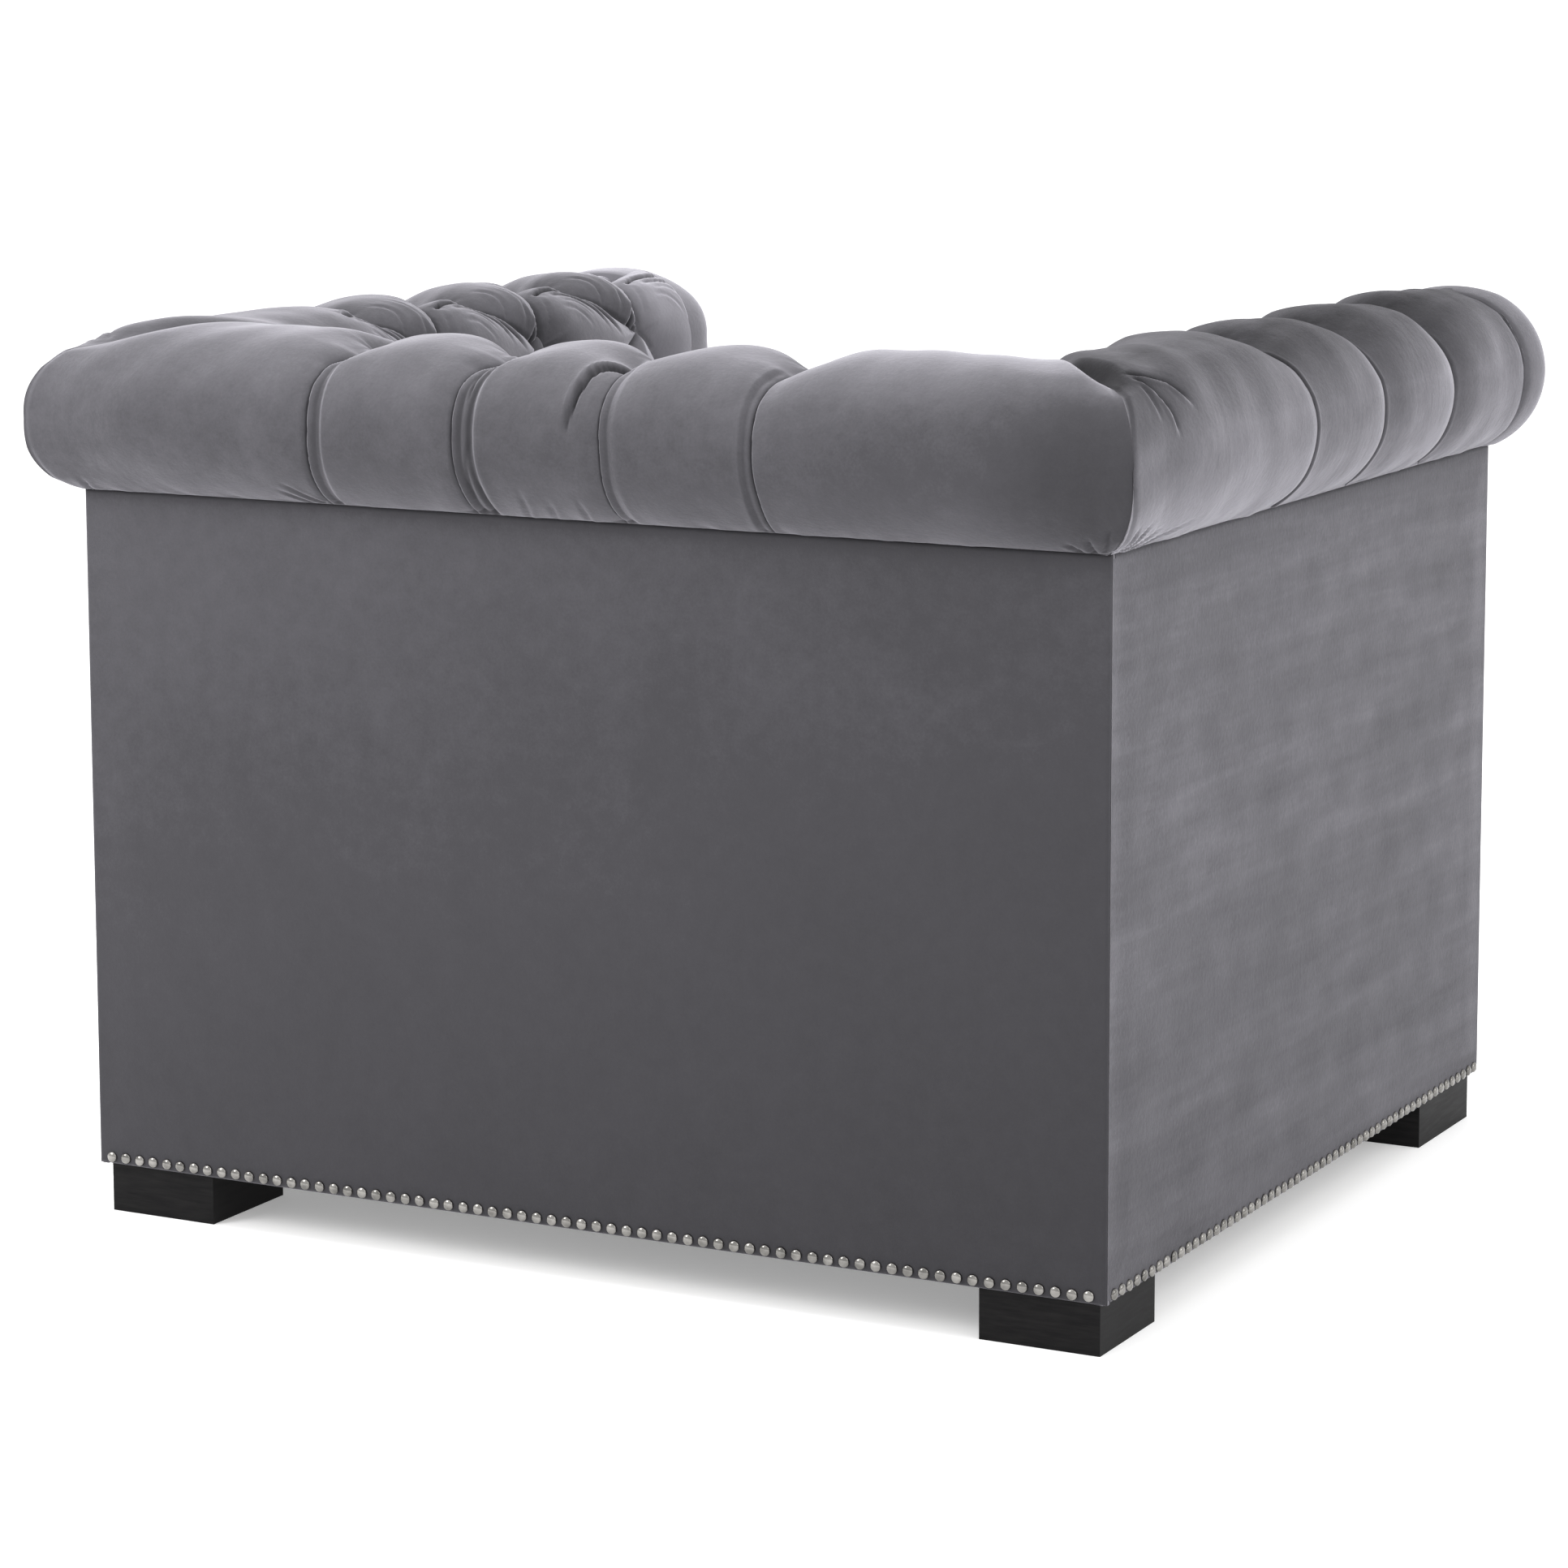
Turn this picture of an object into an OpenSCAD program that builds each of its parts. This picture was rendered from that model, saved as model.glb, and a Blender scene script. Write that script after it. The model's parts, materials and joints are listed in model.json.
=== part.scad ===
// Rolled-arm tufted armchair on block feet, in millimetres.
// The sitter faces -Y, so the left arm is at +X. The origin is on the floor, under the middle
// of the chair. Each module is one piece, or one group of like fasteners.

/* [Body] */
// Width across the flat outside panels
body_w = 940; // [880:10:1000]
// Depth from the front border to the outside back
body_d = 846; // [816:10:906]
// Height of the outside panels, up to the crease under the roll
panel_h = 581; // [550:1:620]
// Thickness of an outside panel's cover and wadding
panel_t = 9; // [6:1:12]
// Thickness of the board behind each outside panel
board_t = 3; // [2:0.5:5]

/* [Feet] */
// Height of the block feet
foot_h = 43; // [38:1:60]
// Width of a foot, across the chair
foot_w = 103; // [80:1:115]
// Depth of a rear foot
rear_foot_d = 106; // [80:1:120]
// Depth of a front foot
front_foot_d = 127; // [90:1:140]
// How far the feet stand in from the side and back panels
foot_inset = 8; // [4:1:16]
// How far the front feet stand in from the front border
front_foot_inset = 5; // [2:1:16]
// Diameter of the bolt that holds a foot
bolt_d = 8; // [6:1:10]
// Length of the bolt above the foot
bolt_up = 50; // [35:1:60]
// Length of the bolt inside the foot
bolt_in = 28; // [15:1:32]
// Outside diameter of a tee nut's barrel
nut_d = 11.5; // [11:0.5:14]
// Diameter of a tee nut's flange
flange_d = 20; // [16:1:24]
// Thickness of a tee nut's flange
flange_t = 1.5; // [1:0.5:3]
// Length of a tee nut's barrel
nut_l = 12; // [8:1:16]
// Diameter of the glide let into each foot
glide_d = 24; // [18:1:30]
// Thickness of a glide
glide_t = 3; // [2:0.5:5]

/* [Roll] */
// Width of the roll along the back and arms
roll_w = 183; // [176:1:192]
// Height of the roll above the crease
roll_h = 141; // [134:1:150]
// How far the back's roll stands out past the outside panels
roll_out = 55; // [48:1:64]
// How far an arm's roll stands out
arm_out = 43; // [34:1:50]
// How far the roll's front end stands out past the front border
end_out = 30; // [22:1:40]
// How far the rolls stand out at their mitred corner
corner_out = 33; // [24:1:44]
// Share of the roll's height that the mitred corner loses
corner_dip = 0.1; // [0:0.02:0.2]
// Length of roll, from the mitre, that bends into the corner
corner_run = 130; // [90:5:160]

/* [Tufting] */
// Bays between the pleats of the back roll
back_bays = 3; // [2:1:4]
// Bays between the pleats of an arm roll
arm_bays = 3; // [2:1:4]
// Length of the back's corner bay, from the side panel to the first pleat
back_corner_bay = 268; // [255:1:290]
// Length of an arm's corner bay, from the outside back to the first pleat
arm_corner_bay = 307; // [280:1:330]
// Distance from one row of buttons to the next, over the padding
row_step = 105; // [98:1:112]
// Depth of the diamond folds
fold_deep = 15; // [8:1:20]
// Depth of the pleats down the outside of the roll
pleat_deep = 6; // [3:1:10]
// How much deeper a button sits than its folds
button_deep = 9; // [5:1:14]
// Diameter of a button
button_d = 24; // [18:1:28]
// Thickness of a button
button_t = 6; // [4:1:8]

/* [Inside] */
// Reach of an inside face from the outside panel, at the cushion
inside_reach = 172; // [160:1:184]
// How much farther forward the middle of the inside back comes
back_lean = 45; // [20:1:60]
// Height of the top of the seat deck
deck_z = 318; // [300:1:330]
// Thickness of the deck's padding
deck_pad_t = 19; // [12:1:22]
// Thickness of the deck's cover and of the burlap over the springs
cloth_t = 1.5; // [1:0.5:2]

/* [Seat cushion] */
// Thickness of the cushion at its seams
cushion_t = 145; // [125:1:150]
// Rise of the cushion's crown above its top seam
cushion_crown = 16; // [8:1:22]
// How far the boxing swells past the seams
boxing_swell = 3; // [1:0.5:4]
// How far each side draws in, midway between its corners
side_draw = 4; // [1:1:8]
// How far the cushion's front stands out past the front border
cushion_out = 4; // [0:1:10]
// Thickness of the cover and wrap at the sides of the foam core
wrap_t = 26; // [24:1:32]
// Thickness of the cover and wrap under and over the foam core
wrap_z = 12; // [8:1:16]
// Length of the zip in the rear boxing
zip_l = 480; // [400:10:500]
// Height of the zip's tape
zip_h = 24; // [20:1:28]
// Depth of the recess that the zip lies in
zip_recess = 12; // [11:0.5:14]

/* [Frame] */
// Thickness of the base and seat rails
rail_t = 28; // [22:1:32]
// Height of the base rails
base_h = 100; // [90:1:120]
// Side of a square post, and width of a top rail
post_w = 45; // [40:1:50]
// Height of the top rails
top_rail_h = 40; // [30:1:50]
// Height of the seat rails
seat_rail_h = 60; // [45:1:70]
// Height of the tacking rails over the deck
tack_h = 45; // [35:1:55]
// Leg of a triangular corner block
block_leg = 130; // [110:5:150]
// Thickness of the dust cover
dust_t = 2; // [1:0.5:3]
// Height of the foam core inside the roll
core_h = 76; // [60:1:82]

/* [Springs and webbing] */
// Sinuous springs across the seat
springs = 5; // [4:1:6]
// Distance from one spring to the next
spring_pitch = 130; // [110:5:140]
// Diameter of the spring wire
wire_d = 3.8; // [3:0.2:4.4]
// Width of a spring's loops
loop_w = 50; // [40:1:60]
// Loops along a spring
loops = 14; // [10:1:16]
// Height of a spring clip
clip_h = 5.6; // [5.4:0.2:6.6]
// Width of a webbing strap
strap_w = 50; // [40:1:60]
// Thickness of a webbing strap
strap_t = 2; // [1:0.5:3]

/* [Nails] */
// Diameter of a nail's head
nail_d = 9.5; // [8:0.5:11]
// Height of a nail's head
nail_h = 2.8; // [2:0.2:3.6]
// Length of a nail's shank
nail_l = 12.5; // [12.5:0.5:18]
// Diameter of a nail's shank
shank_d = 2.2; // [1.6:0.2:2.6]
// Height of the nail row above the panels' bottom edge
nail_up = 6.5; // [6:0.5:12]
// Clearance between the shanks of the nails that meet at a corner
nail_clear = 0.4; // [0.2:0.1:6]
// Nails across the back, and across the front
nails_wide = 66; // [40:1:68]
// Nails along each side
nails_deep = 57; // [40:1:60]

/* [Hidden] */

// Clearance between soft pieces and what they lie against
gap = 0.3;
// Clearance round a bolt, a core or a wire in its hole
play = 0.2;

half_w = body_w / 2;
back_y = body_d / 2 + (end_out - roll_out) / 2;
front_y = back_y - body_d;
crease_z = foot_h + panel_h;
wall_t = panel_t + board_t;
frame_x = half_w - wall_t;
frame_back = back_y - wall_t;
frame_front = front_y + wall_t;
rail_z = foot_h + dust_t;
base_top = rail_z + base_h;
// Distance from the outside face to the frame's inner face, and to the back of the padding
frame_in = wall_t + post_w;
pad_in = frame_in + strap_t + gap;

// Seat layers, from the deck's top down
burlap_z = deck_z - 2 * cloth_t - deck_pad_t;
seat_rail_top = burlap_z - clip_h;
tack_z = deck_z + wall_t;

// Ellipse of the roll's section, as distance out from the panel and height
roll_a = roll_w / 2;
roll_c = roll_out - roll_a;
crease_angle = -acos(-roll_c / roll_a);
roll_b = roll_h / (1 - sin(crease_angle));
roll_z = crease_z + roll_h - roll_b;

// Run of the skin over the section, counted from the first row of buttons
button_angle = 97;
mean_r = (roll_a + roll_b) / 2;
outer_run = (button_angle - crease_angle) * mean_r * PI / 180;
top_run = (180 - button_angle) * mean_r * PI / 180;
rows = 3;
last_row = rows * row_step;
deck_run = top_run + roll_z - deck_z - gap;
outer_steps = 8;
row_steps = 5;
tail_steps = 2;
corner_steps = 6;
bay_steps = 6;
skin_runs = [
    for (i = [0:outer_steps - 1]) outer_run * (i / outer_steps - 1),
    for (i = [0:rows * row_steps]) i * row_step / row_steps,
    for (i = [1:tail_steps]) last_row + (deck_run - last_row) * i / tail_steps
];

function ease(t) = let (c = max(0, min(1, t))) c * c * (3 - 2 * c);
function mix(a, b, t) = a + (b - a) * t;
// Angle round the roll of a point on its skin
function roll_angle(v) = button_angle + v / mean_r * 180 / PI;
// Share of the way from the roll down to the top of the cushion
function down_share(v) = (v - top_run) / (roll_z - deck_z - cushion_t);
// Smooth skin of the section: [out, up], with lean the extra reach of the inside face
function skin(v, lean) = v <= top_run
    ? [roll_c + roll_a * cos(roll_angle(v)), roll_z + roll_b * sin(roll_angle(v))]
    : [mix(roll_c - roll_a, -inside_reach - lean, ease(down_share(v))), roll_z - v + top_run];
// Direction that the skin faces
function facing(v) = v >= top_run ? [-1, 0] :
    let (n = [cos(roll_angle(v)) / roll_a, sin(roll_angle(v)) / roll_b]) n / norm(n);
// Run over which a fold flattens into its pleat, and reach of the dimple round a button
pleat_run = 120;
dimple_w = 30;
// Depth of the folds at bay p and run v: pleats outside, diamonds inside
function fold(p, v) = let (
        q = max(v, 0) / (2 * row_step),
        f = sqrt(abs(sin(180 * (p + q)) * sin(180 * (p - q)))),
        deep = v < 0 ? mix(fold_deep, pleat_deep, ease(-v / pleat_run)) : fold_deep,
        fade = 1 - ease((v - last_row) / (row_step / 2))
    ) deep * fade * pow(1 - f, 1.5);
// Extra depth round the nearest button
function dimple(p, v, bay) = let (
        r = max(0, min(rows, round(v / row_step))),
        du = (p - r / 2 - round(p - r / 2)) * bay,
        dv = v - r * row_step
    ) button_deep * exp(-(du * du + dv * dv) / (dimple_w * dimple_w));

// Share of the corner bend at distance d from the mitre
function corner(d) = ease(1 - d / corner_run);
// A section point [out, up] where the roll stands out by reach
function spread(s, reach) = s.x > 0 ? [s.x * reach / roll_out, s.y] : s;
// A skin point at bay p, run v and distance d from the mitre: [out, up]; full is the share
// of the tufting's depth there, and reach how far the roll stands out away from its corners
function dressed(p, v, bay, d, lean, full, reach) = let (
        w = corner(d),
        s = spread(skin(v, lean) - facing(v) * (fold(p, v) + dimple(p, v, bay)) * full,
                   mix(reach, corner_out, w))
    ) [s.x, s.y > crease_z ? mix(s.y, crease_z, corner_dip * w) : s.y];
// Run r from a bay's inner end r0 to the mitre at r1, stretched to meet a 45-degree mitre
function mitre(r, r0, r1, out) = r <= r0 ? r
    : r0 + (r - r0) * (r1 + out - play - r0) / (r1 - r0);

// Back of the padding: round the core, then down the webbing
core_lip = 4;
core_slope = 10;
core_edge = core_lip + core_slope;
function lining(e) = [
    [core_lip - wall_t - e, crease_z], [core_lip - wall_t - e, crease_z + core_h - core_edge - e],
    [-wall_t - core_slope - e, crease_z + core_h - e],
    [-pad_in + core_edge + e, crease_z + core_h - e],
    [-pad_in + e, crease_z + core_h - core_edge - e], [-pad_in + e, deck_z + gap]
];
lined = len(lining(0));
skinned = len(skin_runs);
ring = skinned + lined;

// Lining point that a cap's fan uses beside skin step j
function lining_of(j) = let (v = skin_runs[j], a = roll_angle(v))
    v > deck_run * 0.72 ? 5 : v > top_run - 30 ? 4 : a > 100 ? 3 : a > 60 ? 2 : a > -20 ? 1 : 0;
// Triangles of an end cap whose first point is at index o; flip turns them round
function turned(t, flip) = flip ? [t[2], t[1], t[0]] : t;
function cap(o, flip) = [
    for (j = [0:skinned - 2]) turned([o + j, o + j + 1, o + skinned + lining_of(j)], flip),
    for (j = [0:skinned - 2]) if (lining_of(j + 1) > lining_of(j))
        for (k = [lining_of(j):lining_of(j + 1) - 1])
            turned([o + j + 1, o + skinned + k + 1, o + skinned + k], flip)
];
// Index of ring point k: the skin in order, then the lining from the deck back to the crease
function ring_at(k) = let (m = k % ring) m < skinned ? m : ring - 1 - (m - skinned);
function sides(cols, n) = [
    for (i = [0:cols - 2], k = [0:n - 1])
        let (a = ring_at(k), b = ring_at(k + 1), o = i * n)
        each [[o + a, o + n + b, o + b], [o + a, o + n + a, o + n + b]]
];

// Bays along the back: [bay number, position, distance from the mitre]
back_first = half_w - back_corner_bay;
back_bay = 2 * back_first / back_bays;
back_half = [
    for (i = [0:corner_steps - 1]) let (t = i / corner_steps)
        [-1 + t, -half_w + back_corner_bay * t],
    for (i = [0:back_bays * bay_steps]) [i / bay_steps, -back_first + back_bay * i / bay_steps],
    for (i = [1:corner_steps]) let (t = i / corner_steps)
        [back_bays + t, back_first + back_corner_bay * t]
];
function back_column(c) = let (p = c[0], x = c[1], d = half_w - abs(x), side = sign(x),
        lean = back_lean * ease(d / back_corner_bay))
    concat(
        [for (v = skin_runs) let (s = dressed(p, v, back_bay, d, lean, 1, roll_out))
            [side * mitre(abs(x), back_first, half_w, s.x), back_y + s.x, s.y]],
        [for (s = lining(0)) [side * mitre(abs(x), back_first, half_w, s.x), back_y + s.x, s.y]]
    );

// Bays along the left arm, from the mitre to the front
arm_first = back_y - arm_corner_bay;
arm_bay = (arm_first - frame_front) / arm_bays;
arm_steps = [
    for (i = [0:corner_steps - 1]) let (t = i / corner_steps)
        [-1 + t, back_y - arm_corner_bay * t],
    for (i = [0:arm_bays * bay_steps]) [i / bay_steps, arm_first - arm_bay * i / bay_steps]
];
// The cover is pulled flat over the front edge of an arm
front_fade = 70;
function arm_column(c) = let (p = c[0], y = c[1], d = back_y - y,
        full = mix(0.2, 1, ease((y - frame_front) / front_fade)))
    concat(
        [for (v = skin_runs) let (s = dressed(p, v, arm_bay, d, 0, full, arm_out))
            [half_w + s.x, mitre(y, arm_first, back_y, s.x), s.y]],
        [for (s = lining(0)) [half_w + s.x, mitre(y, arm_first, back_y, s.x), s.y]]
    );

// Colours of the pieces
velvet = "#66656b";
wood = "#c8a877";
board = "#b59b72";
foam = "#e8dfc4";
burlap = "#a58f64";
nickel = "#c9c8c4";
black = "#1b1b1c";
steel = "#9a9da1";

// Both hands of a piece made for the left
module right() { mirror([1, 0, 0]) children(); }
// Four feet or fasteners, each at [x, y]
rear_foot_y = back_y - foot_inset - rear_foot_d / 2;
front_foot_y = front_y + front_foot_inset + front_foot_d / 2;
foot_x = half_w - foot_inset - foot_w / 2;
foot_places = [for (x = [-foot_x, foot_x], y = [rear_foot_y, front_foot_y]) [x, y]];
module at_feet() { for (p = foot_places) translate(p) children(); }

// Box from its lowest corner to its highest
module box(a, b) { translate(a) cube(b - a); }
// Hidden hole, d across its flats, and a round piece that turns in one
few_sides = 12;
module hole(d, h) { cylinder(d = d / cos(180 / few_sides), h = h, $fn = few_sides); }
module disc(d, h) { cylinder(d = d, h = h, $fn = few_sides); }

module rail_front() {
    color(wood) box([-frame_x, frame_front, rail_z], [frame_x, frame_front + rail_t, base_top]);
}
module rail_back() {
    color(wood) box([-frame_x, frame_back - rail_t, rail_z], [frame_x, frame_back, base_top]);
}
module rail_left() {
    color(wood) box([frame_x - rail_t, frame_front + rail_t, rail_z],
                    [frame_x, frame_back - rail_t, base_top]);
}
module rail_right() { right() rail_left(); }

// Triangular block in one corner of the base, bored for its foot's bolt and tee nut
module corner_block(corner_y, foot_y, toward) {
    difference() {
        translate([0, 0, rail_z]) linear_extrude(base_h) polygon([
            [frame_x - rail_t, corner_y], [frame_x - rail_t - block_leg, corner_y],
            [frame_x - rail_t, corner_y + toward * block_leg]
        ]);
        translate([foot_x, foot_y, rail_z - 1]) {
            hole(flange_d + 2 * play, 1 + flange_t + play);
            hole(nut_d + 2 * play, 1 + flange_t + nut_l + play);
            hole(bolt_d + 2 * play, 1 + bolt_up + play);
        }
    }
}
module corner_blocks() {
    color(wood) for (side = [0, 1]) mirror([side, 0, 0]) {
        corner_block(frame_back - rail_t, rear_foot_y, -1);
        corner_block(frame_front + rail_t, front_foot_y, 1);
    }
}

// Posts stand on the base rails and carry the top rails
post_top = crease_z - top_rail_h;
module back_post_left() {
    color(wood) box([frame_x - post_w, frame_back - post_w, base_top],
                    [frame_x, frame_back, post_top]);
}
module back_post_right() { right() back_post_left(); }
module front_post_left() {
    color(wood) box([frame_x - post_w, frame_front, base_top],
                    [frame_x, frame_front + post_w, post_top]);
}
module front_post_right() { right() front_post_left(); }
module back_top_rail() {
    color(wood) box([-frame_x, frame_back - post_w, post_top], [frame_x, frame_back, crease_z]);
}
module arm_top_rail_left() {
    color(wood) box([frame_x - post_w, frame_front, post_top],
                    [frame_x, frame_back - post_w, crease_z]);
}
module arm_top_rail_right() { right() arm_top_rail_left(); }

// Tacking rails hold the lower edge of the webbing
module back_tack_rail() {
    color(wood) box([post_w - frame_x, frame_back - post_w, tack_z],
                    [frame_x - post_w, frame_back - post_w + rail_t, tack_z + tack_h]);
}
module arm_tack_rail_left() {
    color(wood) box([frame_x - post_w, frame_front + post_w, tack_z],
                    [frame_x - post_w + rail_t, frame_back - post_w, tack_z + tack_h]);
}
module arm_tack_rail_right() { right() arm_tack_rail_left(); }

// Seat rails carry the spring clips
seat_rail_z = seat_rail_top - seat_rail_h;
module seat_rail_front() {
    color(wood) box([post_w - frame_x, frame_front, seat_rail_z],
                    [frame_x - post_w, frame_front + rail_t, seat_rail_top]);
}
module seat_rail_back() {
    color(wood) box([rail_t - frame_x, frame_back - post_w - rail_t, seat_rail_z],
                    [frame_x - rail_t, frame_back - post_w, seat_rail_top]);
}
module seat_rail_left() {
    color(wood) box([frame_x - rail_t, frame_front + post_w, seat_rail_z],
                    [frame_x, frame_back - post_w, seat_rail_top]);
}
module seat_rail_right() { right() seat_rail_left(); }

// Sinuous springs from the front seat rail to the back one
spring_xs = [for (i = [0:springs - 1]) (i - (springs - 1) / 2) * spring_pitch];
spring_z = seat_rail_top + clip_h / 2;
clip_l = rail_t * 0.7;
clip_w = 20;
clip_front_y = frame_front + rail_t - clip_l / 2;
clip_back_y = frame_back - post_w - rail_t + clip_l / 2;
spring_end = 6;
spring_y0 = clip_front_y + clip_l / 2 + spring_end;
spring_y1 = clip_back_y - clip_l / 2 - spring_end;
wave_h = loop_w / 2 - wire_d / 2;
spring_path = concat(
    [[0, clip_front_y], [0, spring_y0]],
    [for (i = [0:loops - 1], e = [0.15, 0.85])
        [(i % 2 == 0 ? 1 : -1) * wave_h, mix(spring_y0, spring_y1, (i + 0.15 + e * 0.7) / loops)]],
    [[0, spring_y1], [0, clip_back_y]]
);
wire_sides = 4;
// Ring of wire round path point i, square to the path
function wire_ring(i) = let (
        a = spring_path[max(0, i - 1)], b = spring_path[min(len(spring_path) - 1, i + 1)],
        d = (b - a) / norm(b - a), n = [d.y, -d.x], p = spring_path[i])
    [for (k = [0:wire_sides - 1]) let (t = 360 * k / wire_sides)
        [p.x + n.x * cos(t) * wire_d / 2, p.y + n.y * cos(t) * wire_d / 2, sin(t) * wire_d / 2]];
module spring() {
    n = len(spring_path);
    s = wire_sides;
    polyhedron(
        [for (i = [0:n - 1]) each wire_ring(i)],
        concat(
            [for (k = [1:s - 2]) [0, k, k + 1]],
            [for (i = [0:n - 2], k = [0:s - 1]) let (o = i * s, m = (k + 1) % s)
                each [[o + k, o + s + m, o + m], [o + k, o + s + k, o + s + m]]],
            [for (k = [1:s - 2]) let (o = (n - 1) * s) [o, o + k + 1, o + k]]
        ));
}
module seat_springs() { color(steel) for (x = spring_xs) translate([x, 0, spring_z]) spring(); }
module spring_clips() {
    color(steel) for (x = spring_xs, y = [clip_front_y, clip_back_y]) difference() {
        box([x - clip_w / 2, y - clip_l / 2, seat_rail_top],
            [x + clip_w / 2, y + clip_l / 2, seat_rail_top + clip_h]);
        translate([x, y, spring_z]) rotate([90, 0, 0])
            cylinder(d = wire_d + 4 * play, h = clip_l + 2, center = true, $fn = 8);
    }
}

// Straps from the top rail down to the tacking rail, on the frame's inner face
strap_edge = 2;
strap_bottom = tack_z + strap_edge;
strap_top = crease_z - strap_edge;
back_strap_ids = [-2:2];
arm_strap_ids = [0:3];
module back_straps() {
    pitch = 2 * (frame_x - post_w) / 6;
    for (i = back_strap_ids) box(
        [i * pitch - strap_w / 2, back_y - frame_in - strap_t, strap_bottom],
        [i * pitch + strap_w / 2, back_y - frame_in, strap_top]);
}
module arm_straps() {
    pitch = (frame_back - post_w - frame_front - post_w) / 4;
    for (i = arm_strap_ids) let (y = frame_front + post_w + pitch * (i + 0.5)) box(
        [half_w - frame_in - strap_t, y - strap_w / 2, strap_bottom],
        [half_w - frame_in, y + strap_w / 2, strap_top]);
}
module webbing() {
    color(burlap) {
        back_straps();
        arm_straps();
        right() arm_straps();
    }
}

// Layers of the deck, over the springs and under the pads
module deck_layer(z, t) {
    box([frame_in - half_w + gap, frame_front, z], [half_w - frame_in - gap, back_y - pad_in, z + t]);
}
module spring_burlap() { color(burlap) deck_layer(burlap_z, cloth_t); }
module deck_padding() { color(foam) deck_layer(burlap_z + cloth_t, deck_pad_t); }
module deck_cover() { color(velvet) deck_layer(deck_z - cloth_t, cloth_t); }
dust_clear = 2;
module dust_cover() {
    color(black) difference() {
        box([-frame_x, frame_front, foot_h], [frame_x, frame_back, rail_z]);
        at_feet() translate([0, 0, foot_h - 1]) hole(bolt_d + dust_clear, dust_t + 2);
    }
}

// Foam bolsters on the top rails; the back's runs through and the arms' butt against it
module core(length) {
    rotate([90, 0, 90]) linear_extrude(length) polygon(
        [for (i = [0:4]) lining(play)[i], [-pad_in + play, crease_z]]);
}
core_end = half_w - wall_t - core_slope - play;
module back_roll_core() { color(foam) translate([-core_end, back_y, 0]) core(2 * core_end); }
module arm_roll_core_left() {
    color(foam) translate([half_w, back_y - pad_in, 0]) rotate([0, 0, -90])
        core(back_y - pad_in - frame_front);
}
module arm_roll_core_right() { right() arm_roll_core_left(); }

// Tufted pads: the roll and the inside face in one piece, mitred where they meet
module back_pad() {
    cols = len(back_half);
    color(velvet) polyhedron(
        [for (c = back_half) each back_column(c)],
        concat(cap(0, false), sides(cols, ring), cap((cols - 1) * ring, true)));
}
module arm_pad_left() {
    cols = len(arm_steps);
    color(velvet) polyhedron(
        [for (c = arm_steps) each arm_column(c)],
        concat(cap(0, false), sides(cols, ring), cap((cols - 1) * ring, true)));
}
module arm_pad_right() { right() arm_pad_left(); }

// Puffed front end of an arm's roll, above the arm's front panel
end_runs_in = top_run + roll_z - crease_z;
end_skin_n = 20;
end_base_n = 4;
end_outline = [
    for (i = [0:end_skin_n]) spread(skin(mix(-outer_run, end_runs_in, i / end_skin_n), 0), arm_out),
    for (i = [1:end_base_n - 1]) mix(skin(end_runs_in, 0), [0, crease_z], i / end_base_n)
];
// Rings of the puffed end: [distance out from the front panel, share of the full section]
end_rings = [
    [-wall_t + gap, 0.93], [-0.3 * wall_t, 0.99], [0.3 * end_out, 1],
    [0.65 * end_out, 0.95], [0.9 * end_out, 0.8], [end_out, 0.5]
];
end_mid = [roll_c, crease_z + roll_h / 2];
function end_height(z, share) = share > 0.98 ? z : max(crease_z, end_mid.y + (z - end_mid.y) * share);
module roll_end_left() {
    n = len(end_outline);
    r = len(end_rings);
    color(velvet) polyhedron(
        concat(
            [for (e = end_rings, s = end_outline)
                [half_w + end_mid.x + (s.x - end_mid.x) * e[1], front_y - e[0],
                 end_height(s.y, e[1])]],
            [[half_w + end_mid.x, front_y + wall_t - gap, end_mid.y],
             [half_w + end_mid.x, front_y - end_out, end_mid.y]]),
        concat(
            [for (k = [0:n - 1]) [r * n, (k + 1) % n, k]],
            [for (i = [0:r - 2], k = [0:n - 1]) let (o = i * n, m = (k + 1) % n)
                each [[o + k, o + m, o + n + m], [o + k, o + n + m, o + n + k]]],
            [for (k = [0:n - 1]) let (o = (r - 1) * n) [r * n + 1, o + k, o + (k + 1) % n]]
        ));
}
module roll_end_right() { right() roll_end_left(); }

// Covered buttons, each pulled down into the padding at a crossing of the folds
button_sides = 6;
module button(v, lean) {
    s = skin(v, lean) - facing(v) * (fold_deep + button_deep);
    n = facing(v);
    translate([0, s.x, s.y]) rotate([-atan2(n.x, n.y), 0, 0])
        translate([0, 0, -1]) cylinder(d = button_d, h = button_t, $fn = button_sides);
}
module back_buttons() {
    color(velvet) for (r = [0:rows], k = [0:back_bays]) {
        p = r % 2 == 0 ? k : k + 0.5;
        x = -back_first + back_bay * p;
        lean = back_lean * ease((half_w - abs(x)) / back_corner_bay);
        if (p <= back_bays) translate([x, back_y, 0]) button(r * row_step, lean);
    }
}
module arm_buttons_left() {
    color(velvet) for (r = [0:rows], k = [0:arm_bays]) {
        p = r % 2 == 0 ? k : k + 0.5;
        if (p < arm_bays) translate([half_w, arm_first - arm_bay * p, 0]) rotate([0, 0, -90])
            button(r * row_step, 0);
    }
}
module arm_buttons_right() { right() arm_buttons_left(); }

// Boards behind the outside covers
board_x = half_w - panel_t;
module outside_back_board() {
    color(board) box([-board_x, frame_back, foot_h], [board_x, back_y - panel_t, crease_z]);
}
module outside_arm_board_left() {
    color(board) box([frame_x, front_y + panel_t, foot_h], [board_x, frame_back, crease_z]);
}
module outside_arm_board_right() { right() outside_arm_board_left(); }
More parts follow.
